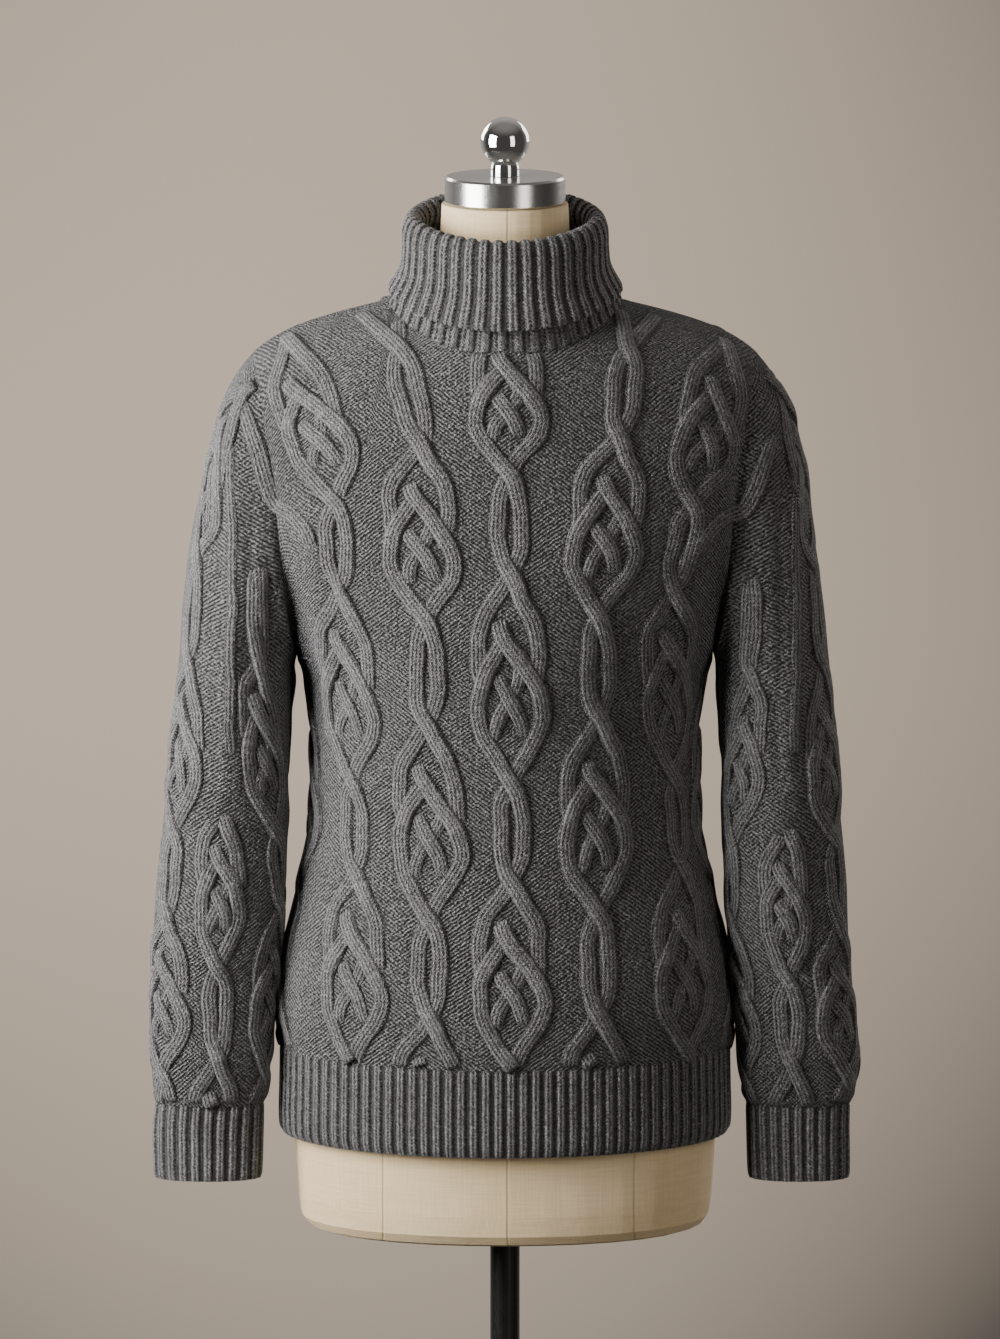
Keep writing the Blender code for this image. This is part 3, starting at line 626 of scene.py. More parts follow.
# On a sleeve the place across is the turn in degrees.
INNER_PATH = (
    (762, 154), (873, 158), (930, 152), (1024, 128), (1069, 118), (1101, 114), (1137, 106),
    (1169, 98), (1200, 95),
)
MIDDLE_PATH = ((762, 96), (808, 97), (842, 95), (879, 92), (935, 91), (993, 84))
HIDDEN_PATH = ((762, 212), (1000, 210), (1150, 205))
BACK_PATH = ((762, 262), (1100, 262), (1250, 268))
OUTER_PATH = ((762, 318), (1100, 318), (1320, 328))
SLEEVE_COLUMNS = {
    RIGHT: (
        Column(
            ((762, 38), (1100, 38), (1200, 36), (1320, 30)),
            (1370, 1300, 1173, 1099, 970, 908, 786, 712), "twin", 0.80, 0.86, 0.92,
        ),
        Column(INNER_PATH, (1176, 1100, 968, 912, 786, 712), "twin", 0.70, 0.78, 0.88),
        Column(MIDDLE_PATH, (989, 869, 802, 680), "lozenge", 0.62, 0.78, 0.86),
        Column(HIDDEN_PATH, (1215, 1142, 1005, 934, 802, 690), "twin", 0.72, 0.8, 0.88),
        Column(BACK_PATH, (1290, 1216, 1078, 1006, 874, 806, 690), "twin", 0.72, 0.8, 0.88),
        Column(
            OUTER_PATH, (1380, 1308, 1170, 1098, 962, 892, 764, 700), "twin", 0.78, 0.84, 0.9,
        ),
    ),
    LEFT: (
        Column(
            ((762, 36), (1100, 34), (1200, 26), (1320, 12)),
            (1366, 1296, 1166, 1094, 962, 900, 782, 712), "twin", 0.80, 0.86, 0.92,
        ),
        Column(INNER_PATH, (1168, 1092, 960, 904, 780, 706), "twin", 0.70, 0.78, 0.88),
        Column(MIDDLE_PATH, (978, 860, 796, 676), "lozenge", 0.62, 0.78, 0.86),
        Column(HIDDEN_PATH, (1211, 1138, 1001, 930, 798, 690), "twin", 0.72, 0.8, 0.88),
        Column(BACK_PATH, (1286, 1212, 1074, 1002, 870, 802, 690), "twin", 0.72, 0.8, 0.88),
        Column(
            OUTER_PATH, (1376, 1304, 1166, 1094, 958, 888, 760, 700), "twin", 0.78, 0.84, 0.9,
        ),
    ),
}


def stretch_steps(steps, top, bottom, spread):
    """The steps with their heights instead of their share of the stretch."""
    height = bottom - top
    return [(top + height * step.down, step.across * spread, *step[2:]) for step in steps]


def column_strands(column):
    """Each strand of a column as rows of height, across, lift and width, from the top."""
    if column.first == "crease":
        return [[(height, 0.0, 0.0, 0.62) for height in column.crossings]]
    strands = []
    crossings = column.crossings
    kinds = [column.first == "twin"]
    while len(kinds) < len(crossings) - 1:
        kinds.append(not kinds[-1])

    def lozenge(steps, index):
        return stretch_steps(steps, crossings[index], crossings[index + 1], column.open)

    def crossed(index, lift):
        return [(crossings[index], 0.0, lift, 1.0)]

    for index, twin in enumerate(kinds):
        last = index == len(kinds) - 1
        if twin:
            left, right = [], []
            if index > 0:
                left += lozenge(INNER_RIGHT, index - 1)
                right += lozenge(INNER_LEFT, index - 1)
            top, bottom = crossings[index], crossings[index + 1]
            left += crossed(index, UNDER) + stretch_steps(TWIN_LEFT, top, bottom, column.twin)
            right += crossed(index, OVER) + stretch_steps(TWIN_RIGHT, top, bottom, column.twin)
            left += crossed(index + 1, OVER)
            right += crossed(index + 1, UNDER)
            if not last:
                left += lozenge(OUTER_RIGHT, index + 1)
                right += lozenge(OUTER_LEFT, index + 1)
            strands += [left, right]
            continue
        strands += [lozenge(SMALL_OVER, index), lozenge(SMALL_UNDER, index)]
        if index == 0:
            strands.append(crossed(0, OVER) + lozenge(OUTER_RIGHT, 0))
            strands.append(crossed(0, UNDER) + lozenge(OUTER_LEFT, 0))
        if last:
            strands += [lozenge(INNER_RIGHT, index), lozenge(INNER_LEFT, index)]
    return strands


def strand_samples(rows):
    """Even samples along a strand given by rows of height, across, lift and width."""
    rows = np.array(sorted(rows, key=lambda row: -row[0]), float)
    length = running(np.hypot(np.diff(rows[:, 0]) * 1.05, np.diff(rows[:, 1])))
    count = max(int(length[-1] / STRAND_STEP), 4)
    return through(length, rows, np.linspace(0, length[-1], count))


def lay_strands(cloth, column, keep, sign=1):
    """The strands of one column on a cloth: points, outward directions, lifts and widths."""
    knots, places = zip(*column.places)
    heights, reaches = cloth.line(lambda height: np.interp(height, knots, places))
    order = np.argsort(heights)
    rows_by_height = np.arange(cloth.last + 1.0)[order]
    laid = []
    for rows in column_strands(column):
        samples = strand_samples(rows)
        height, across, lift, width = samples.T
        across = across + 0.6 * np.sin(height / 9.3 + rows[0][0]) + 0.3 * np.sin(height / 4.1)
        lift = lift + 0.22 * np.sin(height / 7.9 + across / 5.0)
        uneven = 1 + 0.05 * np.sin(height / 11.7 + across / 4.0) + 0.04 * np.sin(height / 5.3)
        width = width * column.strand * uneven
        inside = (height < heights.max() - 0.5) & (height > heights.min() + 0.5)
        row = np.interp(height, heights[order], rows_by_height)
        reach = np.interp(row, np.arange(cloth.last + 1.0), reaches) + sign * across
        edge = (reach > cloth.reach[np.round(row).astype(int), 0] + 1) & (
            reach < cloth.reach[np.round(row).astype(int), -1] - 1
        )
        columns = cloth.columns_at(row, reach)
        good = inside & edge & keep(cloth, row, columns)
        points = cloth.sample(row, columns, cloth.points)
        outward = unit(cloth.sample(row, columns, cloth.outward))
        for run in runs_of(good):
            if len(run) < 4:
                continue
            line = points[run]
            sunk, thin = lift[run], width[run]
            # An end cut off by a seam runs on to it, and sinks in only on the shoulders.
            for end, cut in ((0, run[0] > 0), (-1, run[-1] < len(good) - 1)):
                away = np.linalg.norm(line - line[end], axis=1)
                shoulder = line[end, 2] > SHOULDER_SINK_HEIGHT and abs(line[end, 0]) > SHOULDER_SINK_X
                length, depth, narrowing = SEAM_END if cut and not shoulder else FREE_END
                near = 1 - ease(away / length)
                sunk = sunk - near * depth
                thin = thin * (1 - near * narrowing)
            laid.append((line, outward[run], sunk, thin))
    return laid


# The x, y and z of the lone strand that follows each armhole down the front and turns in at
# the armpit.
ARMHOLE_STRANDS = {
    RIGHT: (
        (-199, -10, 1306), (-190, -39, 1280), (-181, -52, 1254), (-175, -57, 1232),
        (-168, -60, 1217), (-156, -69, 1211), (-147, -78, 1201), (-142, -81, 1188),
        (-141, -83, 1172),
    ),
    LEFT: (
        (203, -30, 1276), (195, -45, 1258), (189, -52, 1242), (183, -57, 1225),
        (174, -61, 1212), (161, -67, 1208), (150, -76, 1200), (142, -82, 1187),
        (139, -84, 1170),
    ),
}


def lay_lone_strand(cloths, spots):
    """A strand through points near the cloths, drawn onto whichever is nearest."""
    knots = np.array(spots, float)
    length = distances(knots)
    count = int(length[-1] / STRAND_STEP)
    path = through(length, knots, np.linspace(0, length[-1], count))
    ground = np.concatenate([cloth.points.reshape(-1, 3) for cloth in cloths])
    facing = np.concatenate([cloth.outward.reshape(-1, 3) for cloth in cloths])
    points, outward = [], []
    for point in path:
        away = np.linalg.norm(ground - point, axis=1)
        weight = np.exp(-((away - away.min()) / 4.0) ** 2 - away / 6.0)
        out = unit((facing * weight[:, None]).sum(axis=0))
        middle = (ground * weight[:, None]).sum(axis=0) / weight.sum()
        points.append(point + out * np.dot(middle - point, out))
        outward.append(out)
    run = np.linspace(0, 1, count)
    lift = 0.2 - 3.2 * (1 - ease(run / 0.16)) - 3.2 * (1 - ease((1 - run) / 0.14))
    width = 0.5 + 0.55 * ease(run / 0.4) * ease((1 - run) / 0.2)
    return np.array(points), np.array(outward), lift, width


def runs_of(good):
    """The unbroken runs of true places."""
    places = np.flatnonzero(good)
    if not len(places):
        return []
    return np.split(places, np.flatnonzero(np.diff(places) > 1) + 1)


def strand_profile():
    """Half a rounded bar: places across from -1 to 1, heights from 0 to 1, and distance round it."""
    turns = np.linspace(0, math.pi, STRAND_SIDES + 1)
    power = 2 / STRAND_SQUARENESS
    across = -np.sign(np.cos(turns)) * np.abs(np.cos(turns)) ** power
    rise = np.abs(np.sin(turns)) ** power
    steps = np.hypot(np.diff(across) * STRAND_WIDTH / 2, np.diff(rise) * STRAND_HEIGHT * 0.6)
    round_it = running(steps)
    return across, rise, round_it - round_it[-1] / 2


def strand_rings(points, outward, lift, width):
    """Rings of a strand: rounded above, and closed by a flat underside inside the cloth."""
    forward = unit(np.gradient(points, axis=0))
    beside = unit(np.cross(forward, outward))
    across, rise, _ = strand_profile()
    half = STRAND_WIDTH / 2 * width
    base = -1.0 + np.minimum(lift, 0) * 0.4
    tall = STRAND_HEIGHT * np.minimum(width * 1.05, 1.0) + lift
    up = np.maximum(base[:, None] + rise[None, :] * tall[:, None], -1.9)
    out = half[:, None] * across[None, :]
    rings = points[:, None, :] + beside[:, None, :] * out[..., None]
    return rings + outward[:, None, :] * up[..., None]


def mesh_from(name, points, faces, spots, shades, felted, surface):
    """A mesh in metres from points in millimetres, its faces, and a place in the knit for each."""
    mesh = bpy.data.meshes.new(name)
    mesh.from_pydata((np.asarray(points) * MM).tolist(), [], faces)
    mesh.validate()
    mesh.shade_smooth()
    loops = np.empty(len(mesh.loops), np.int32)
    mesh.loops.foreach_get("vertex_index", loops)
    layer = mesh.uv_layers.new(name="knit")
    layer.data.foreach_set("uv", (np.asarray(spots)[loops] * MM).astype(np.float32).ravel())
    # The shade attribute carries painted shade; felted marks the fuzzier yarn of lifted strands.
    for word, values in (("shade", shades), ("felted", felted)):
        attribute = mesh.attributes.new(word, "FLOAT", "POINT")
        attribute.data.foreach_set("value", np.asarray(values, np.float32))
    mesh.materials.append(surface)
    made = bpy.data.objects.new(name, mesh)
    bpy.context.scene.collection.objects.link(made)
    return made


def cable_piece(name, laid, surface):
    """All the strands of a piece as closed bars of knitted columns."""
    points, faces, spots, shades, felted = [], [], [], [], []
    base = 0
    ring = STRAND_SIDES + 1
    _, rise, over = strand_profile()
    for number, (line, outward, lift, width) in enumerate(laid):
        rings = strand_rings(line, outward, lift, width)
        count = len(rings)
        down = distances(line) + number * STRAND_SHIFT
        points.append(rings.reshape(-1, 3))
        spots.append(joined(over[None, :] * width[:, None], down[:, None], 0.0)[..., :2].reshape(-1, 2))
        # Painted shade: the height round the bar, so the colour darkens towards the strand's edges.
        shades.append(np.tile(rise, count))
        felted.append(np.repeat(ease((lift - 0.5) / 1.2), ring))
        for row in range(count - 1):
            here, after = base + row * ring, base + (row + 1) * ring
            for side in range(ring - 1):
                faces.append((here + side, here + side + 1, after + side + 1, after + side))
            faces.append((here + ring - 1, here, after, after + ring - 1))
        last = base + (count - 1) * ring
        faces += [tuple(range(base + ring - 1, base - 1, -1)), tuple(range(last, last + ring))]
        base += count * ring
    gathered = [np.concatenate(part) for part in (spots, shades, felted)]
    return mesh_from(name, np.concatenate(points), faces, *gathered, surface)


# ---------------------------------------------------------------- walls of cloth


def wall_piece(name, outside, inside, spots, shade, around, surface):
    """A closed wall between two grids of points, joined round into a tube if `around`."""
    rows, columns = outside.shape[:2]
    points = np.concatenate([outside.reshape(-1, 3), inside.reshape(-1, 3)])
    spots = np.concatenate([spots.reshape(-1, 2)] * 2)
    shades = np.concatenate([shade.reshape(-1)] * 2)
    index = np.arange(rows * columns).reshape(rows, columns)
    if around:
        index = np.concatenate([index, index[:, :1]], axis=1)
    under = index + rows * columns

    def quads(*corners):
        return np.stack(corners, axis=-1).reshape(-1, 4)

    parts = [
        quads(index[:-1, :-1], index[1:, :-1], index[1:, 1:], index[:-1, 1:]),
        quads(under[:-1, :-1], under[:-1, 1:], under[1:, 1:], under[1:, :-1]),
        quads(index[0, :-1], index[0, 1:], under[0, 1:], under[0, :-1]),
        quads(index[-1, 1:], index[-1, :-1], under[-1, :-1], under[-1, 1:]),
    ]
    if not around:
        parts.append(quads(index[1:, 0], index[:-1, 0], under[:-1, 0], under[1:, 0]))
        parts.append(quads(index[:-1, -1], index[1:, -1], under[1:, -1], under[:-1, -1]))
    faces = np.concatenate(parts)
    if face_volume(points, faces) < 0:
        faces = faces[:, ::-1]
    made = mesh_from(name, points, faces.tolist(), spots, shades, 0 * shades, surface)
    made.data.set_sharp_from_angle(angle=math.radians(60))
    return made


def face_volume(points, faces):
    """Six times the volume inside four-sided faces, above zero if they face outward."""
    first, second, third, fourth = (points[faces[:, corner]] for corner in range(4))
    one = np.einsum("ij,ij->i", first, np.cross(second, third)).sum()
    return one + np.einsum("ij,ij->i", first, np.cross(third, fourth)).sum()


def spots_of(points):
    """Where each point lies in the flat knit: its distance across and its distance down."""
    across = distances(points, 1)
    across = across - across[:, across.shape[1] // 2][:, None]
    down = distances(points)
    return np.stack([across, down[-1].max() - down], axis=-1)


def beside_strands(points, laid):
    """Painted shade on the ground beside the strands: darkest at a strand's edge and gone some 4 mm
    away.
    """
    lines = np.concatenate([line for line, _, _, _ in laid])
    half_widths = np.concatenate(
        [np.where(lift > -2.2, STRAND_WIDTH / 2 * width, 0.0) for _, _, lift, width in laid]
    )
    tree = KDTree(len(lines))
    for number, point in enumerate(lines):
        tree.insert(point, number)
    tree.balance()
    found = np.array([tree.find(point)[1:] for point in points.reshape(-1, 3)])
    gap = found[:, 1] - half_widths[found[:, 0].astype(int)]
    return 0.36 + 0.64 * np.clip((gap + 0.8) / 5.0, 0.0, 1.0)


def build_panel(name, face, surface, laid):
    """A panel of ground knit, cut at the neck seam, with painted shade beside its strands."""
    across = np.linspace(-1, 1, 129)
    trim = neck_stage(face, across)
    lower = np.tile(np.linspace(0, 2, 116)[:, None], (1, len(across)))
    upper = 2 + (trim - 2)[None, :] * np.linspace(0, 1, 56)[1:, None]
    stages = np.concatenate([lower, upper])
    outside = worn_torso(face, across[None, :], stages)
    outward = outward_of(outside, -face)
    outward[-1] = outward[-2]
    inside = outside - outward * PANEL_WALL
    shade = beside_strands(outside, laid)
    return wall_piece(name, outside, inside, spots_of(outside), shade, False, surface)


def build_sleeve(name, cloth, surface, laid):
    """A sleeve's tube of ground knit, with painted shade beside the strands that lie on it."""
    degrees = np.mod(np.arange(180, 540, 2.5), 360)
    columns = np.interp(degrees, cloth.across, np.arange(len(cloth.across)))
    rows = np.linspace(0, cloth.last, 134)
    rows, columns = np.meshgrid(rows, columns, indexing="ij")
    outside = cloth.sample(rows, columns, cloth.points)
    outward = unit(cloth.sample(rows, columns, cloth.outward))
    height = outside[..., 2]
    middle = (
        read(SLEEVE, "left_outer", height, "outer_height")
        + read(SLEEVE, "inner", height, "inner_height")
    ) / 2
    ahead = through(*zip(*SLEEVE_DRIFT), height) - outside[..., 1]
    turned = np.unwrap(np.arctan2(ahead, np.abs(outside[..., 0]) - middle), axis=1)
    turned -= 2 * math.pi * np.round(turned.mean(axis=1, keepdims=True) / (2 * math.pi))
    spots = np.stack([turned * SLEEVE_RADIUS, -height], axis=-1)
    inside = outside - outward * PANEL_WALL
    shade = beside_strands(outside, laid)
    return wall_piece(name, outside, inside, spots, shade, True, surface)


# ---------------------------------------------------------------- ribs

RIB_SIDES = 10
RIB_STITCHES, RIB_STITCH = 3, 3.16
# Ribs on half of the hem, round a cuff and round the collar, and how high they stand.
HEM_RIBS, CUFF_RIBS, COLLAR_RIBS = 48, 22, 44
HEM_RIB_HEIGHT, CUFF_RIB_HEIGHT, COLLAR_RIB_HEIGHT = 1.8, 1.7, 1.9


def rib_profile(place):
    """The height of the rib: 0 in the gutter, which is a third of it, and 1 on the ridge."""
    place = np.mod(place, 1.0)
    return ease((place - 0.08) / 0.20) * ease((0.92 - place) / 0.20)


def rib_piece(name, points, outward, height, around, surface):
    """A ribbed wall from a fine grid whose columns are even in ribs."""
    place = np.arange(points.shape[1]) / RIB_SIDES
    down = running(np.linalg.norm(np.diff(points, axis=0), axis=-1).mean(axis=1))
    rounded = 0.4 + 0.6 * ease(np.minimum(down, down[-1] - down) / 4.0)
    lift = rib_profile(place)[None, :] * height * rounded[:, None]
    outside = points + outward * (lift - height * 0.62)[..., None]
    inside = outside - outward * RIB_WALL
    across = place[None, :] * RIB_STITCHES * RIB_STITCH + RIB_STITCH / 2
    spots = joined(across, down[:, None], 0.0)[..., :2]
    # Painted shade: the colour darkens in the gutters between the ribs.
    shade = np.tile(rib_profile(place), len(points))
    return wall_piece(name, outside, inside, spots, shade, around, surface)


def evened(points, count, around):
    """The rows of points read again at even distances along each row."""
    if around:
        points = np.concatenate([points, points[:, :1]], axis=1)
    rows = []
    for row, along in zip(points, distances(points, 1)):
        wanted = np.linspace(0, along[-1], count + 1)[: count if around else count + 1]
        rows.append(np.stack([np.interp(wanted, along, row[:, axis]) for axis in range(3)], axis=1))
    return np.array(rows)


def build_hem_rib(name, face, surface):
    """Half of the hem: a ribbed strip from its rolled lower edge up to the panel."""
    across = np.linspace(-1, 1, 400)[None, :]
    heights = np.concatenate([[HEM_BOTTOM], np.linspace(HEM_BOTTOM + 1.2, RIB_TOP, 22)])[:, None]
    points = body_section(face, *np.broadcast_arrays(across, heights), SIDE_ANGLE, 0.0, 0.0)
    points = evened(points, HEM_RIBS * RIB_SIDES, False)
    outward = outward_of(points, -face)
    rolled = 0.15 * np.sin(heights / 9.0) - 0.8 * bump_at(heights, HEM_BOTTOM, 3.0)
    points = points + outward * rolled[..., None]
    return rib_piece(name, points, outward, HEM_RIB_HEIGHT, False, surface)


def build_cuff(name, side, surface):
    """A ribbed tube, from the sleeve's lower edge down to the wrist."""
    turns = np.linspace(0, 2 * math.pi, 361)[:-1]
    rings = []
    for row in CUFF:
        start = (side, outer_of(row, side), row.height, row.inner, row.height)
        rings.append(tube_ring(*start, row.front, row.back, 0, turns))
    heights = [row.height for row in CUFF]
    points = through(heights, np.array(rings), np.linspace(heights[0], heights[-1], 20))
    points = evened(points, CUFF_RIBS * RIB_SIDES, True)
    outward = outward_around(points, side)
    return rib_piece(name, points, outward, CUFF_RIB_HEIGHT, True, surface)


def outward_around(points, facing):
    wrapped = np.concatenate([points[:, -1:], points, points[:, :1]], axis=1)
    return outward_of(wrapped, facing)[:, 1:-1]


def neck_mitre(turn):
    """The outward and upward directions of the cloth where the collar leaves the neck seam."""
    tilt = np.radians(22 + 16 * np.abs(np.sin(turn)))
    radial = joined(np.sin(turn), -np.cos(turn), 0.0)
    upward = np.array([0.0, 0.0, 1.0])
    mitre = radial * np.cos(tilt)[:, None] + upward * np.sin(tilt)[:, None]
    return mitre, upward * np.cos(tilt)[:, None] - radial * np.sin(tilt)[:, None]


def build_collar(surface):
    """One tube, folded: up the stand, over the roll and down outside."""
    turns = np.linspace(0, 2 * math.pi, 481)[:-1]
    ahead = np.cos(turns)
    across = NECK_SHARE * np.sin(turns)
    front = torso_point(FRONT, across, neck_stage(FRONT, across))
    back = torso_point(BACK, across, neck_stage(BACK, across))
    mitre, leaving = neck_mitre(turns)
    rings = [np.where((ahead > 0)[:, None], front, back) - mitre * RIB_WALL / 2 - leaving * 0.6]
    share = np.abs(ahead)
    for row in COLLAR:
        end_y = np.where(ahead > 0, row.front, row.back)
        end_z = np.where(ahead > 0, row.front_height, row.back_height)
        side_y = (row.front + row.back) / 2
        y = side_y + (end_y - side_y) * share
        z = row.side_height + (end_z - row.side_height) * share**1.4
        rings.append(joined(row.half_width * np.sin(turns), y, z))
    places = np.concatenate([np.linspace(0, 2.8, 13), np.linspace(3, 6, 19), np.linspace(6.2, 9, 17)])
    points = through(np.arange(len(rings)), np.array(rings), places)
    columns = COLLAR_RIBS * RIB_SIDES
    points = evened(points, columns, True)
    waves = np.sin(np.arange(columns) / columns * 2 * math.pi * 5 + 0.7)
    outward = outward_around(points, -1)
    points = points + outward * (0.6 * bump_at(places, 8.2, 1.4)[:, None] * waves)[..., None]
    return rib_piece("collar_knit", points, outward, COLLAR_RIB_HEIGHT, True, surface)


# ---------------------------------------------------------------- materials


class Nodes:
    """Adds nodes to a tree and joins them, so that a shader reads as a short recipe."""

    def __init__(self, tree):
        self.tree = tree

    def add(self, kind, inputs=None, **settings):
        node = self.tree.nodes.new(kind)
        for name, value in settings.items():
            setattr(node, name, value)
        self.give_all(node.inputs, inputs or {})
        return node

    def give(self, socket, value):
        if isinstance(value, bpy.types.NodeSocket):
            self.tree.links.new(value, socket)
        else:
            socket.default_value = value

    def give_all(self, sockets, values):
        for name, value in values.items():
            self.give(sockets[name], value)

    def math(self, operation, first, second=0.0):
        return self.add("ShaderNodeMath", {0: first, 1: second}, operation=operation).outputs[0]

    def plus(self, first, second):
        return self.math("ADD", first, second)

    def minus(self, first, second):
        return self.math("SUBTRACT", first, second)

    def times(self, first, second):
        return self.math("MULTIPLY", first, second)

    def spread(self, value, low, high, to_low=0.0, to_high=1.0):
        """A smooth change from to_low to to_high while the value goes from low to high."""
        ends = {"Value": value, "From Min": low, "From Max": high, "To Min": to_low, "To Max": to_high}
        return self.add("ShaderNodeMapRange", ends, interpolation_type="SMOOTHSTEP").outputs["Result"]

    def mix(self, share, first, second, blend="MIX"):
        inputs = {"Factor": share, 6: first, 7: second}
        return self.add("ShaderNodeMix", inputs, data_type="RGBA", blend_type=blend).outputs[2]

    def noise(self, vector, scale, detail=2.0, roughness=0.5):
        inputs = {"Vector": vector, "Scale": scale, "Detail": detail, "Roughness": roughness}
        return self.add("ShaderNodeTexNoise", inputs).outputs["Fac"]

    def vector(self, operation, first, second=(0.0, 0.0, 0.0)):
        return self.add("ShaderNodeVectorMath", {0: first, 1: second}, operation=operation).outputs[0]

    def parts(self, vector):
        return self.add("ShaderNodeSeparateXYZ", {0: vector}).outputs

    def together(self, x=0.0, y=0.0, z=0.0):
        return self.add("ShaderNodeCombineXYZ", {0: x, 1: y, 2: z}).outputs[0]

    def bump(self, strength, distance, height, under=None):
        inputs = {"Strength": strength, "Distance": distance, "Height": height}
        if under is not None:
            inputs["Normal"] = under
        return self.add("ShaderNodeBump", inputs).outputs["Normal"]


def new_group(name, inputs, outputs):
    """An empty node group, with the nodes, the inputs and the results to fill it in."""
    group = bpy.data.node_groups.new(name, "ShaderNodeTree")
    for way, sockets in (("INPUT", inputs), ("OUTPUT", outputs)):
        for word, kind in sockets.items():
            group.interface.new_socket(word, in_out=way, socket_type="NodeSocket" + kind)
    nodes = Nodes(group)
    return group, nodes, nodes.add("NodeGroupInput").outputs, nodes.add("NodeGroupOutput").inputs


def new_material(name):
    """A material, with its nodes, the inputs of its shader and the place in the piece."""
    made = bpy.data.materials.new(name)
    made.use_nodes = True
    nodes = Nodes(made.node_tree)
    finish = made.node_tree.nodes["Principled BSDF"].inputs
    return made, nodes, finish, nodes.add("ShaderNodeTexCoord").outputs["Object"]


def grey(value, warm=1.0):
    return (value * (1 + 0.03 * warm), value, value * (1 - 0.02 * warm), 1.0)


def wool_group():
    """Heathered yarn: light and dark fibres, soft patches of more and less of them, and painted shade.
    """
    group, nodes, given, result = new_group(
        "Heathered wool", {"Place": "Vector", "PaintedShade": "Float"}, {"Colour": "Color", "Fibre": "Float"}
    )
    place = given["Place"]
    fibre = nodes.noise(place, 900.0, 3.0, 0.65)
    light = nodes.spread(fibre, 0.46, 0.72)
    mottle = nodes.spread(nodes.noise(place, 260.0, 2.0, 0.6), 0.36, 0.62)
    patch = nodes.spread(nodes.noise(place, 38.0), 0.3, 0.7)
    colour = nodes.mix(mottle, grey(0.105, 0.5), grey(0.19, 0.6))
    colour = nodes.mix(light, colour, grey(0.50, 0.3))
    colour = nodes.mix(patch, colour, grey(0.86, 0.4), "MULTIPLY")
    # Painted shade: the colour darkens towards a dark grey where the second input is low.
    shaded = nodes.mix(given["PaintedShade"], grey(0.10, 1.2), grey(1.0, 0.0))
    nodes.give(result["Colour"], nodes.mix(1.0, colour, shaded, "MULTIPLY"))
    nodes.give(result["Fibre"], fibre)
    return group


def ground_group():
    """Purl ground: short slanting loops in a brick lattice that leans one way or the other."""
    group, nodes, given, result = new_group("Purl ground", {"Knit": "Vector"}, {"Height": "Float"})
    knit = given["Knit"]
    wander = nodes.add("ShaderNodeTexNoise", {"Vector": knit, "Scale": 160.0, "Detail": 1.0})
    moved = nodes.vector("SUBTRACT", wander.outputs["Color"], (0.5, 0.5, 0.5))
    moved = nodes.vector("MULTIPLY", moved, (0.0022, 0.0022, 0.0))
    x, y, _ = nodes.parts(nodes.vector("ADD", knit, moved))
    loop_width, loop_height = 4.5 * MM, 3.1 * MM
    over = nodes.times(x, 2 * math.pi / loop_width)
    down = nodes.times(y, 2 * math.pi / loop_height)
    rising = nodes.math("COSINE", nodes.plus(over, down))
    falling = nodes.math("COSINE", nodes.minus(over, down))
    lean = nodes.spread(nodes.noise(knit, 13.0, 1.0), 0.38, 0.62, 0.27, 0.73)
    loops = nodes.plus(nodes.times(rising, lean), nodes.times(falling, nodes.minus(1.0, lean)))
    uneven = nodes.spread(nodes.noise(knit, 420.0, 1.0), 0.30, 0.70, -0.60, 0.60)
    nodes.give(result["Height"], nodes.plus(loops, uneven))
    return group


def stitch_group(width, row):
    """Columns of V-shaped stitches, each `width` across, one V for each `row`."""
    group, nodes, given, result = new_group(
        f"Knit columns {width:g}", {"Knit": "Vector"}, {"Height": "Float"}
    )
    knit = given["Knit"]
    x, y, _ = nodes.parts(knit)
    over = nodes.math("DIVIDE", x, width * MM)
    down = nodes.math("DIVIDE", y, row * MM)
    beside = nodes.math("ABSOLUTE", nodes.minus(nodes.math("FRACT", over), 0.5))
    legs = nodes.times(nodes.plus(down, nodes.times(beside, 2.0)), 2 * math.pi)
    legs = nodes.math("COSINE", legs)
    columns = nodes.math("COSINE", nodes.times(beside, 2 * math.pi))
    loops = nodes.plus(nodes.times(columns, 0.55), nodes.times(legs, 0.45))
    uneven = nodes.spread(nodes.noise(knit, 520.0, 2.0, 0.6), 0.30, 0.70, -0.5, 0.5)
    nodes.give(result["Height"], nodes.plus(loops, uneven))
    return group


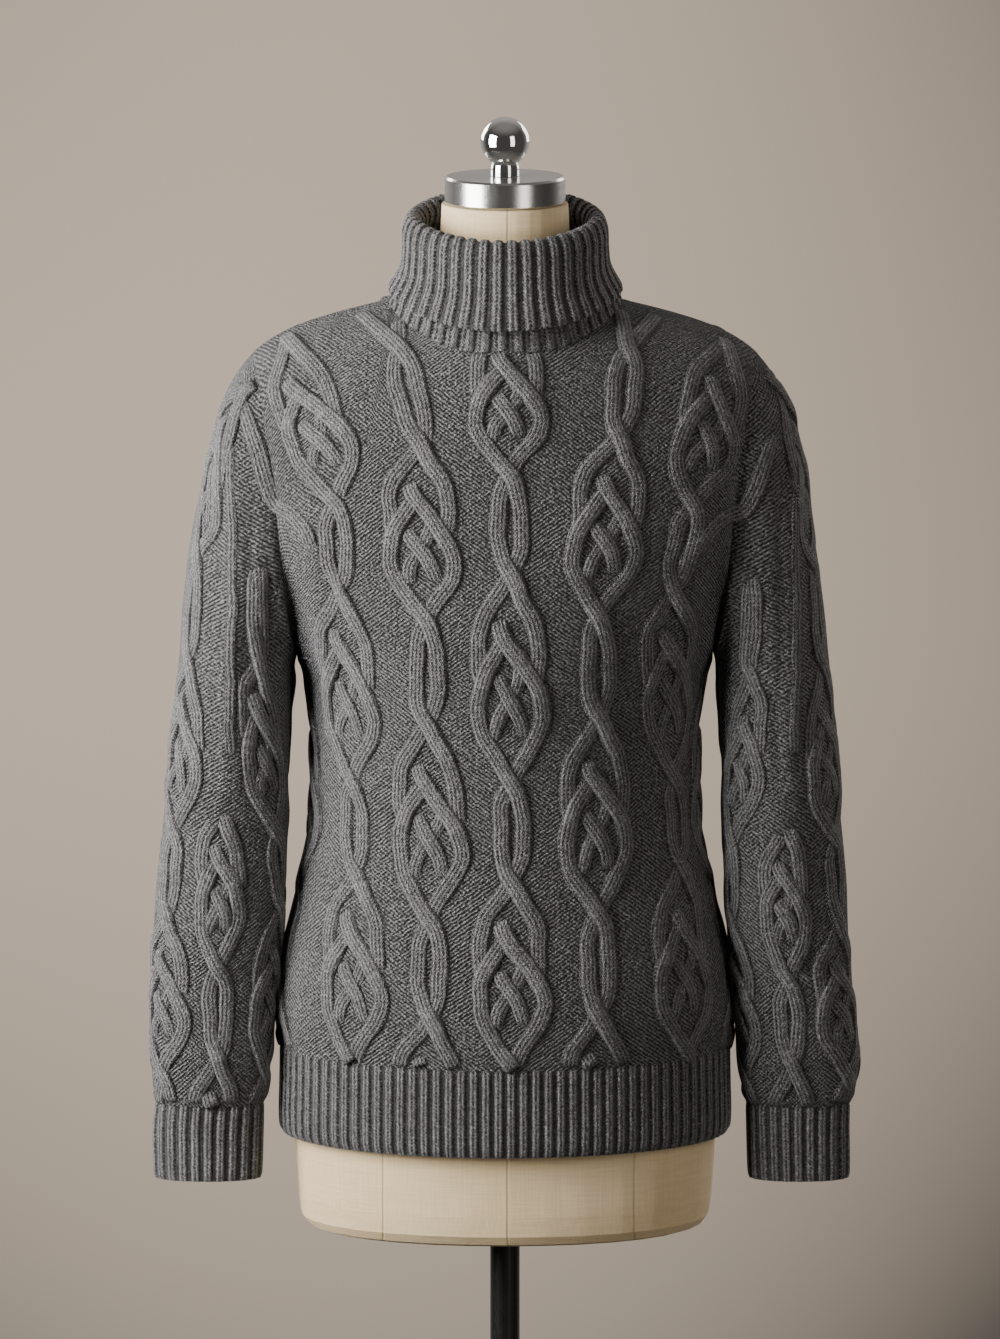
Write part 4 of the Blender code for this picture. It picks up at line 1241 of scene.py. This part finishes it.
def knit_material(name, pattern, wool, gutter, depth, low, high):
    """Wool over a knitted pattern: the pattern lifts the loops, and painted shade darkens its gaps, the
    strands' edges, the rib gutters and the ground beside the strands.
    """
    made, nodes, finish, place = new_material(name)
    knit = nodes.add("ShaderNodeUVMap", uv_map="knit").outputs[0]
    height = nodes.add("ShaderNodeGroup", node_tree=pattern)
    nodes.give(height.inputs["Knit"], knit)
    shade = nodes.add("ShaderNodeAttribute", attribute_name="shade").outputs["Fac"]
    felted = nodes.add("ShaderNodeAttribute", attribute_name="felted").outputs["Fac"]
    crisp = nodes.minus(1.0, nodes.times(felted, 0.30))
    height = nodes.times(height.outputs["Height"], crisp)
    raised = nodes.plus(height, nodes.times(felted, 0.12))
    # Painted shade at the strands' edges, in the rib gutters and on the ground beside the strands, with
    # painted shade in the gaps between the loops, darkens the wool's colour.
    painted_edge_shade = nodes.spread(shade, 0.0, gutter, 0.30, 1.0)
    painted_shade = nodes.times(nodes.spread(raised, low, high), painted_edge_shade)
    yarn = nodes.add("ShaderNodeGroup", node_tree=wool)
    nodes.give_all(yarn.inputs, {"Place": place, "PaintedShade": painted_shade})
    relief = nodes.plus(height, nodes.times(yarn.outputs["Fibre"], 1.6))
    nodes.give_all(finish, {
        "Base Color": yarn.outputs["Colour"],
        "Normal": nodes.bump(1.0, depth * MM, relief),
        "Roughness": 0.95,
        "Specular IOR Level": 0.12,
        "Sheen Weight": 0.22,
        "Sheen Roughness": 0.45,
        "Sheen Tint": (0.80, 0.80, 0.82, 1.0),
    })
    return made


def turned_normal(nodes, place, squash, ball=None):
    """The outward direction of a round piece, from its place rather than from its flat faces."""
    x, y, z = nodes.parts(place)
    flat = nodes.vector("NORMALIZE", nodes.together(nodes.times(x, squash), y))
    rise = nodes.parts(nodes.add("ShaderNodeNewGeometry").outputs["True Normal"])[2]
    level = nodes.math("SQRT", nodes.minus(1.0, nodes.times(rise, rise)))
    level = nodes.math("MAXIMUM", level, 0.0001)
    flat = nodes.add("ShaderNodeVectorMath", {0: flat, "Scale": level}, operation="SCALE")
    turned = nodes.vector("ADD", flat.outputs[0], nodes.together(z=rise))
    if ball is None:
        return turned
    middle, foot = ball
    centred = nodes.vector("NORMALIZE", nodes.vector("SUBTRACT", place, (0.0, 0.0, middle)))
    above = nodes.math("GREATER_THAN", z, foot)
    return nodes.add("ShaderNodeMix", {0: above, 4: turned, 5: centred}, data_type="VECTOR").outputs[1]


def linen_material():
    """Plain linen, with slubs in its threads and three upright seams down the form."""
    made, nodes, finish, place = new_material("linen_cover")
    x, y, z = nodes.parts(place)
    thread = 0.9 * MM
    turn = nodes.math("ARCTAN2", x, nodes.times(y, -1.0))
    over = nodes.math("SINE", nodes.times(turn, 0.13 * 2 * math.pi / thread))
    down = nodes.math("SINE", nodes.times(z, 2 * math.pi / thread))
    weft = nodes.noise(nodes.vector("MULTIPLY", place, (30.0, 30.0, 900.0)), 1.0, 2.0, 0.6)
    warp = nodes.noise(nodes.vector("MULTIPLY", place, (900.0, 900.0, 22.0)), 1.0, 2.0, 0.6)
    slub = nodes.plus(weft, warp)
    broad = nodes.spread(nodes.noise(place, 9.0), 0.35, 0.65)
    colour = nodes.mix(nodes.spread(slub, 0.78, 1.22), (0.80, 0.61, 0.36, 1), (0.87, 0.69, 0.43, 1))
    colour = nodes.mix(broad, colour, (0.93, 0.91, 0.87, 1), "MULTIPLY")
    seams = 0.0
    for middle in (0.002, -0.0900, 0.0955):
        away = nodes.math("ABSOLUTE", nodes.minus(x, middle))
        seams = nodes.math("MAXIMUM", seams, nodes.spread(away, 0.0002, 0.0011, 1.0, 0.0))
    colour = nodes.mix(nodes.times(seams, 0.42), colour, (0.30, 0.22, 0.13, 1))
    relief = nodes.plus(nodes.times(nodes.times(over, down), 0.4), nodes.times(slub, 0.9))
    relief = nodes.minus(relief, nodes.times(seams, 2.4))
    neck = nodes.spread(z, 1.33, 1.38, 0.41, 1.0)
    nodes.give_all(finish, {
        "Base Color": colour,
        "Normal": nodes.bump(0.6, 0.0004, relief, turned_normal(nodes, place, neck)),
        "Roughness": 0.85,
        "Specular IOR Level": 0.2,
        "Sheen Weight": 0.08,
    })
    return made


def metal_material(name, colour, roughness, brushed, ball=None):
    """Polished metal, with fine turning lines if brushed. A ball is its middle and its foot."""
    made, nodes, finish, place = new_material(name)
    smooth = turned_normal(nodes, place, 1.0, ball)
    nodes.give_all(finish, {
        "Base Color": (*colour, 1.0), "Metallic": 1.0, "Roughness": roughness, "Normal": smooth,
    })
    if brushed:
        x, y, z = nodes.parts(place)
        radius = nodes.math("SQRT", nodes.plus(nodes.times(x, x), nodes.times(y, y)))
        rings = nodes.together(nodes.times(radius, 5000.0), 0.0, nodes.times(z, 5000.0))
        lines = nodes.noise(rings, 1.0, 2.0, 0.7)
        nodes.give_all(finish, {
            "Roughness": nodes.spread(lines, 0.3, 0.7, roughness - 0.06, roughness + 0.08),
            "Normal": nodes.bump(0.35, 0.00005, lines, smooth),
            "Anisotropic": 0.6,
        })
    return made


def paint_material():
    """Black paint with a faint grain."""
    made, nodes, finish, place = new_material("black_paint")
    nodes.give_all(finish, {
        "Base Color": (0.006, 0.006, 0.0055, 1.0),
        "Roughness": nodes.spread(nodes.noise(place, 220.0, 3.0), 0.3, 0.7, 0.36, 0.46),
        "Normal": nodes.bump(0.15, 0.0001, nodes.noise(place, 1500.0)),
    })
    return made


# ---------------------------------------------------------------- camera, light and stage


LENS, SENSOR = 350.0, 36.0
AIM = (-0.0037, 0.0, 1.0839)
TILT, DISTANCE = math.radians(9.46), 9.636
FLOOR_RINGS, FLOOR_CORNERS = (3.0, 9.0, 30.0, 90.0), 96
MIDDLE = (0.0, 0.0, 1.1)
# Each light's place, what it points at, its width and height, its watts and its colour.
LIGHTS = {
    "softbox": ((-1.18, -0.62, 1.52), (-0.05, 0.0, 1.2), (0.9, 1.2), 63.0, (1.0, 0.99, 0.98)),
    "fill": ((1.7, -2.3, 1.7), MIDDLE, (1.0, 2.4), 24.0, (1.0, 0.94, 0.87)),
    "behind_left": ((-2.0, 2.3, 2.1), MIDDLE, (1.6, 1.6), 75.0, (1.0, 0.98, 0.95)),
    "behind_right": ((1.9, 2.4, 2.0), MIDDLE, (1.8, 1.8), 38.0, (1.0, 0.96, 0.92)),
}


def build_camera():
    data = bpy.data.cameras.new("camera")
    data.lens = LENS
    data.sensor_width = SENSOR
    data.clip_end = 50.0
    camera = bpy.data.objects.new("camera", data)
    bpy.context.scene.collection.objects.link(camera)
    camera.location = Vector(AIM) + Vector((0.0, -math.cos(TILT), math.sin(TILT))) * DISTANCE
    camera.rotation_euler = (math.pi / 2 - TILT, 0.0, 0.0)
    bpy.context.scene.camera = camera


def area_light(name, place, aim, size, power, colour):
    data = bpy.data.lights.new(name, "AREA")
    data.shape = "RECTANGLE"
    data.size, data.size_y = size
    data.energy = power
    data.color = colour
    light = bpy.data.objects.new(name, data)
    bpy.context.scene.collection.objects.link(light)
    light.location = place
    light.visible_camera = False
    light.rotation_euler = (Vector(aim) - Vector(place)).to_track_quat("-Z", "Y").to_euler()


def build_stage():
    """A wide plain floor that runs back to where it meets the eye as a soft warm grey field of painted
    light, which lights and mirrors nothing.
    """
    mesh = bpy.data.meshes.new("floor")
    turns = np.linspace(0, 2 * math.pi, FLOOR_CORNERS + 1)[:-1]
    points = [(0.0, 0.0, 0.0)]
    faces = []
    for number, radius in enumerate(FLOOR_RINGS):
        points += [(math.cos(turn) * radius, math.sin(turn) * radius, 0.0) for turn in turns]
        start = 1 + number * FLOOR_CORNERS
        before = start - FLOOR_CORNERS
        for corner in range(FLOOR_CORNERS):
            after = (corner + 1) % FLOOR_CORNERS
            if number == 0:
                faces.append((0, start + corner, start + after))
            else:
                faces.append((before + corner, start + corner, start + after, before + after))
    mesh.from_pydata(points, [], faces)
    floor = bpy.data.objects.new("floor", mesh)
    bpy.context.scene.collection.objects.link(floor)
    floor.visible_diffuse = False
    floor.visible_glossy = False
    mesh.materials.append(floor_material())


def floor_material():
    """Dark paper lit by the lamps, under a glow of painted light that is a little brighter on the left
    and falls off at the edges, most at the bottom.
    """
    made, nodes, finish, place = new_material("floor_glow")
    x, y, _ = nodes.parts(place)
    radius = nodes.add("ShaderNodeVectorMath", {0: place}, operation="LENGTH").outputs["Value"]
    away = nodes.plus(radius, 9.505)
    beyond = nodes.spread(y, 0.4, 2.4)
    over = nodes.math("DIVIDE", nodes.math("DIVIDE", x, away), 0.0386)
    over = nodes.math("MINIMUM", nodes.math("MAXIMUM", over, -1.1), 1.1)
    over = nodes.times(over, beyond)
    down = nodes.math("DIVIDE", nodes.minus(nodes.math("DIVIDE", 2.668, away), 0.1593), 0.0579)
    down = nodes.math("MINIMUM", nodes.math("MAXIMUM", down, -0.9), 1.05)
    over_twice = nodes.times(over, over)
    down_twice = nodes.times(down, down)
    low = nodes.times(nodes.spread(down, -0.1, 0.1), beyond)
    edge = nodes.plus(0.05, nodes.times(low, 0.21))
    # Painted light: the glow is brighter on the left and falls off to the sides, and more towards the
    # bottom.
    bright = nodes.minus(0.60, nodes.times(over, 0.115))
    bright = nodes.minus(bright, nodes.times(over_twice, 0.08))
    bright = nodes.minus(bright, nodes.times(down_twice, edge))
    bright = nodes.minus(bright, nodes.times(nodes.times(over_twice, down_twice), 0.10))
    nodes.give_all(finish, {
        "Emission Strength": bright,
        "Emission Color": (1.0, 0.815, 0.645, 1.0),
        "Base Color": (0.10, 0.09, 0.08, 1.0),
        "Roughness": 1.0,
        "Specular IOR Level": 0.0,
    })
    return made


def build_light():
    world = bpy.data.worlds.new("studio")
    world.use_nodes = True
    nodes = Nodes(world.node_tree)
    _, y, z = nodes.parts(nodes.add("ShaderNodeTexCoord").outputs["Generated"])
    behind = nodes.spread(y, 0.1, 0.95, 0.0, 0.36)
    overhead = nodes.spread(z, 0.45, 1.0, 0.06, 0.22)
    background = world.node_tree.nodes["Background"].inputs
    nodes.give_all(background, {
        "Color": (1.0, 0.95, 0.90, 1.0), "Strength": nodes.plus(behind, overhead),
    })
    bpy.context.scene.world = world
    for name, light in LIGHTS.items():
        area_light(name, *light)


# ---------------------------------------------------------------- the scene


def on_panel(face):
    """Keeps strands off the neck opening and the side edges of a panel."""

    def keep(cloth, rows, columns):
        across = np.interp(columns, np.arange(len(cloth.across)), cloth.across)
        stage = np.interp(rows, np.arange(cloth.last + 1), cloth.stages)
        return (stage < neck_stage(face, across) - 0.004) & (np.abs(across) < 0.985)

    return keep


def anywhere(cloth, rows, columns):
    return np.ones(len(rows), bool)


def main():
    build_camera()
    build_stage()
    build_light()

    wool = wool_group()
    ground = knit_material("ground_knit_wool", ground_group(), wool, 1.0, 1.3, -0.62, 0.70)
    cable = knit_material("cable_wool", stitch_group(2.95, 2.6), wool, 0.9, 0.8, -1.0, 0.65)
    rib = knit_material("rib_wool", stitch_group(RIB_STITCH, 2.6), wool, 0.95, 0.75, -1.0, 0.55)

    pieces = {}
    for name, face, columns, sign in (
        ("front", FRONT, FRONT_COLUMNS, 1),
        ("back", BACK, BACK_COLUMNS, -1),
    ):
        cloth = panel_cloth(face)
        laid = []
        for column in columns:
            laid += lay_strands(cloth, column, on_panel(face), sign)
        if face == FRONT:
            for side in (RIGHT, LEFT):
                laid += lay_strands(side_cloth(side), SIDE_COLUMNS[side], anywhere, side)
        panel = build_panel(name + "_knit", face, ground, laid)
        pieces[name] = (panel, cable_piece(name + "_cables", laid, cable))
        pieces["hem_rib_" + name] = (build_hem_rib("hem_rib_" + name + "_knit", face, rib), None)
    for word, side in (("right", RIGHT), ("left", LEFT)):
        cloth = sleeve_cloth(side)
        laid = [lay_lone_strand([panel_cloth(FRONT), cloth], ARMHOLE_STRANDS[side])]
        crease = Column(CREASE_PATH[side], (1280, 1200, 1120, 1020), "crease")
        for column in (*SLEEVE_COLUMNS[side], crease):
            laid += lay_strands(cloth, column, anywhere, -side)
        sleeve = build_sleeve("sleeve_" + word + "_knit", cloth, ground, laid)
        pieces["sleeve_" + word] = (sleeve, cable_piece("sleeve_" + word + "_cables", laid, cable))
        pieces["cuff_" + word] = (build_cuff("cuff_" + word + "_knit", side, rib), None)
    pieces["collar"] = (build_collar(rib), None)

    for node, (piece, cables) in pieces.items():
        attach(piece, "root")
        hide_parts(node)
        if cables:
            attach(cables, "root")

    finishes = {
        "form_torso": linen_material(),
        "neck_cap": metal_material("turned_steel", (0.62, 0.61, 0.59), 0.17, True),
        "finial": metal_material("chrome", (0.86, 0.85, 0.84), 0.05, False, (1.4776, 1.4607)),
        "stand_pole": paint_material(),
        "stand_base": paint_material(),
    }
    for node, surface in finishes.items():
        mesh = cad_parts[node].data
        mesh.materials.clear()
        mesh.materials.append(surface)


main()
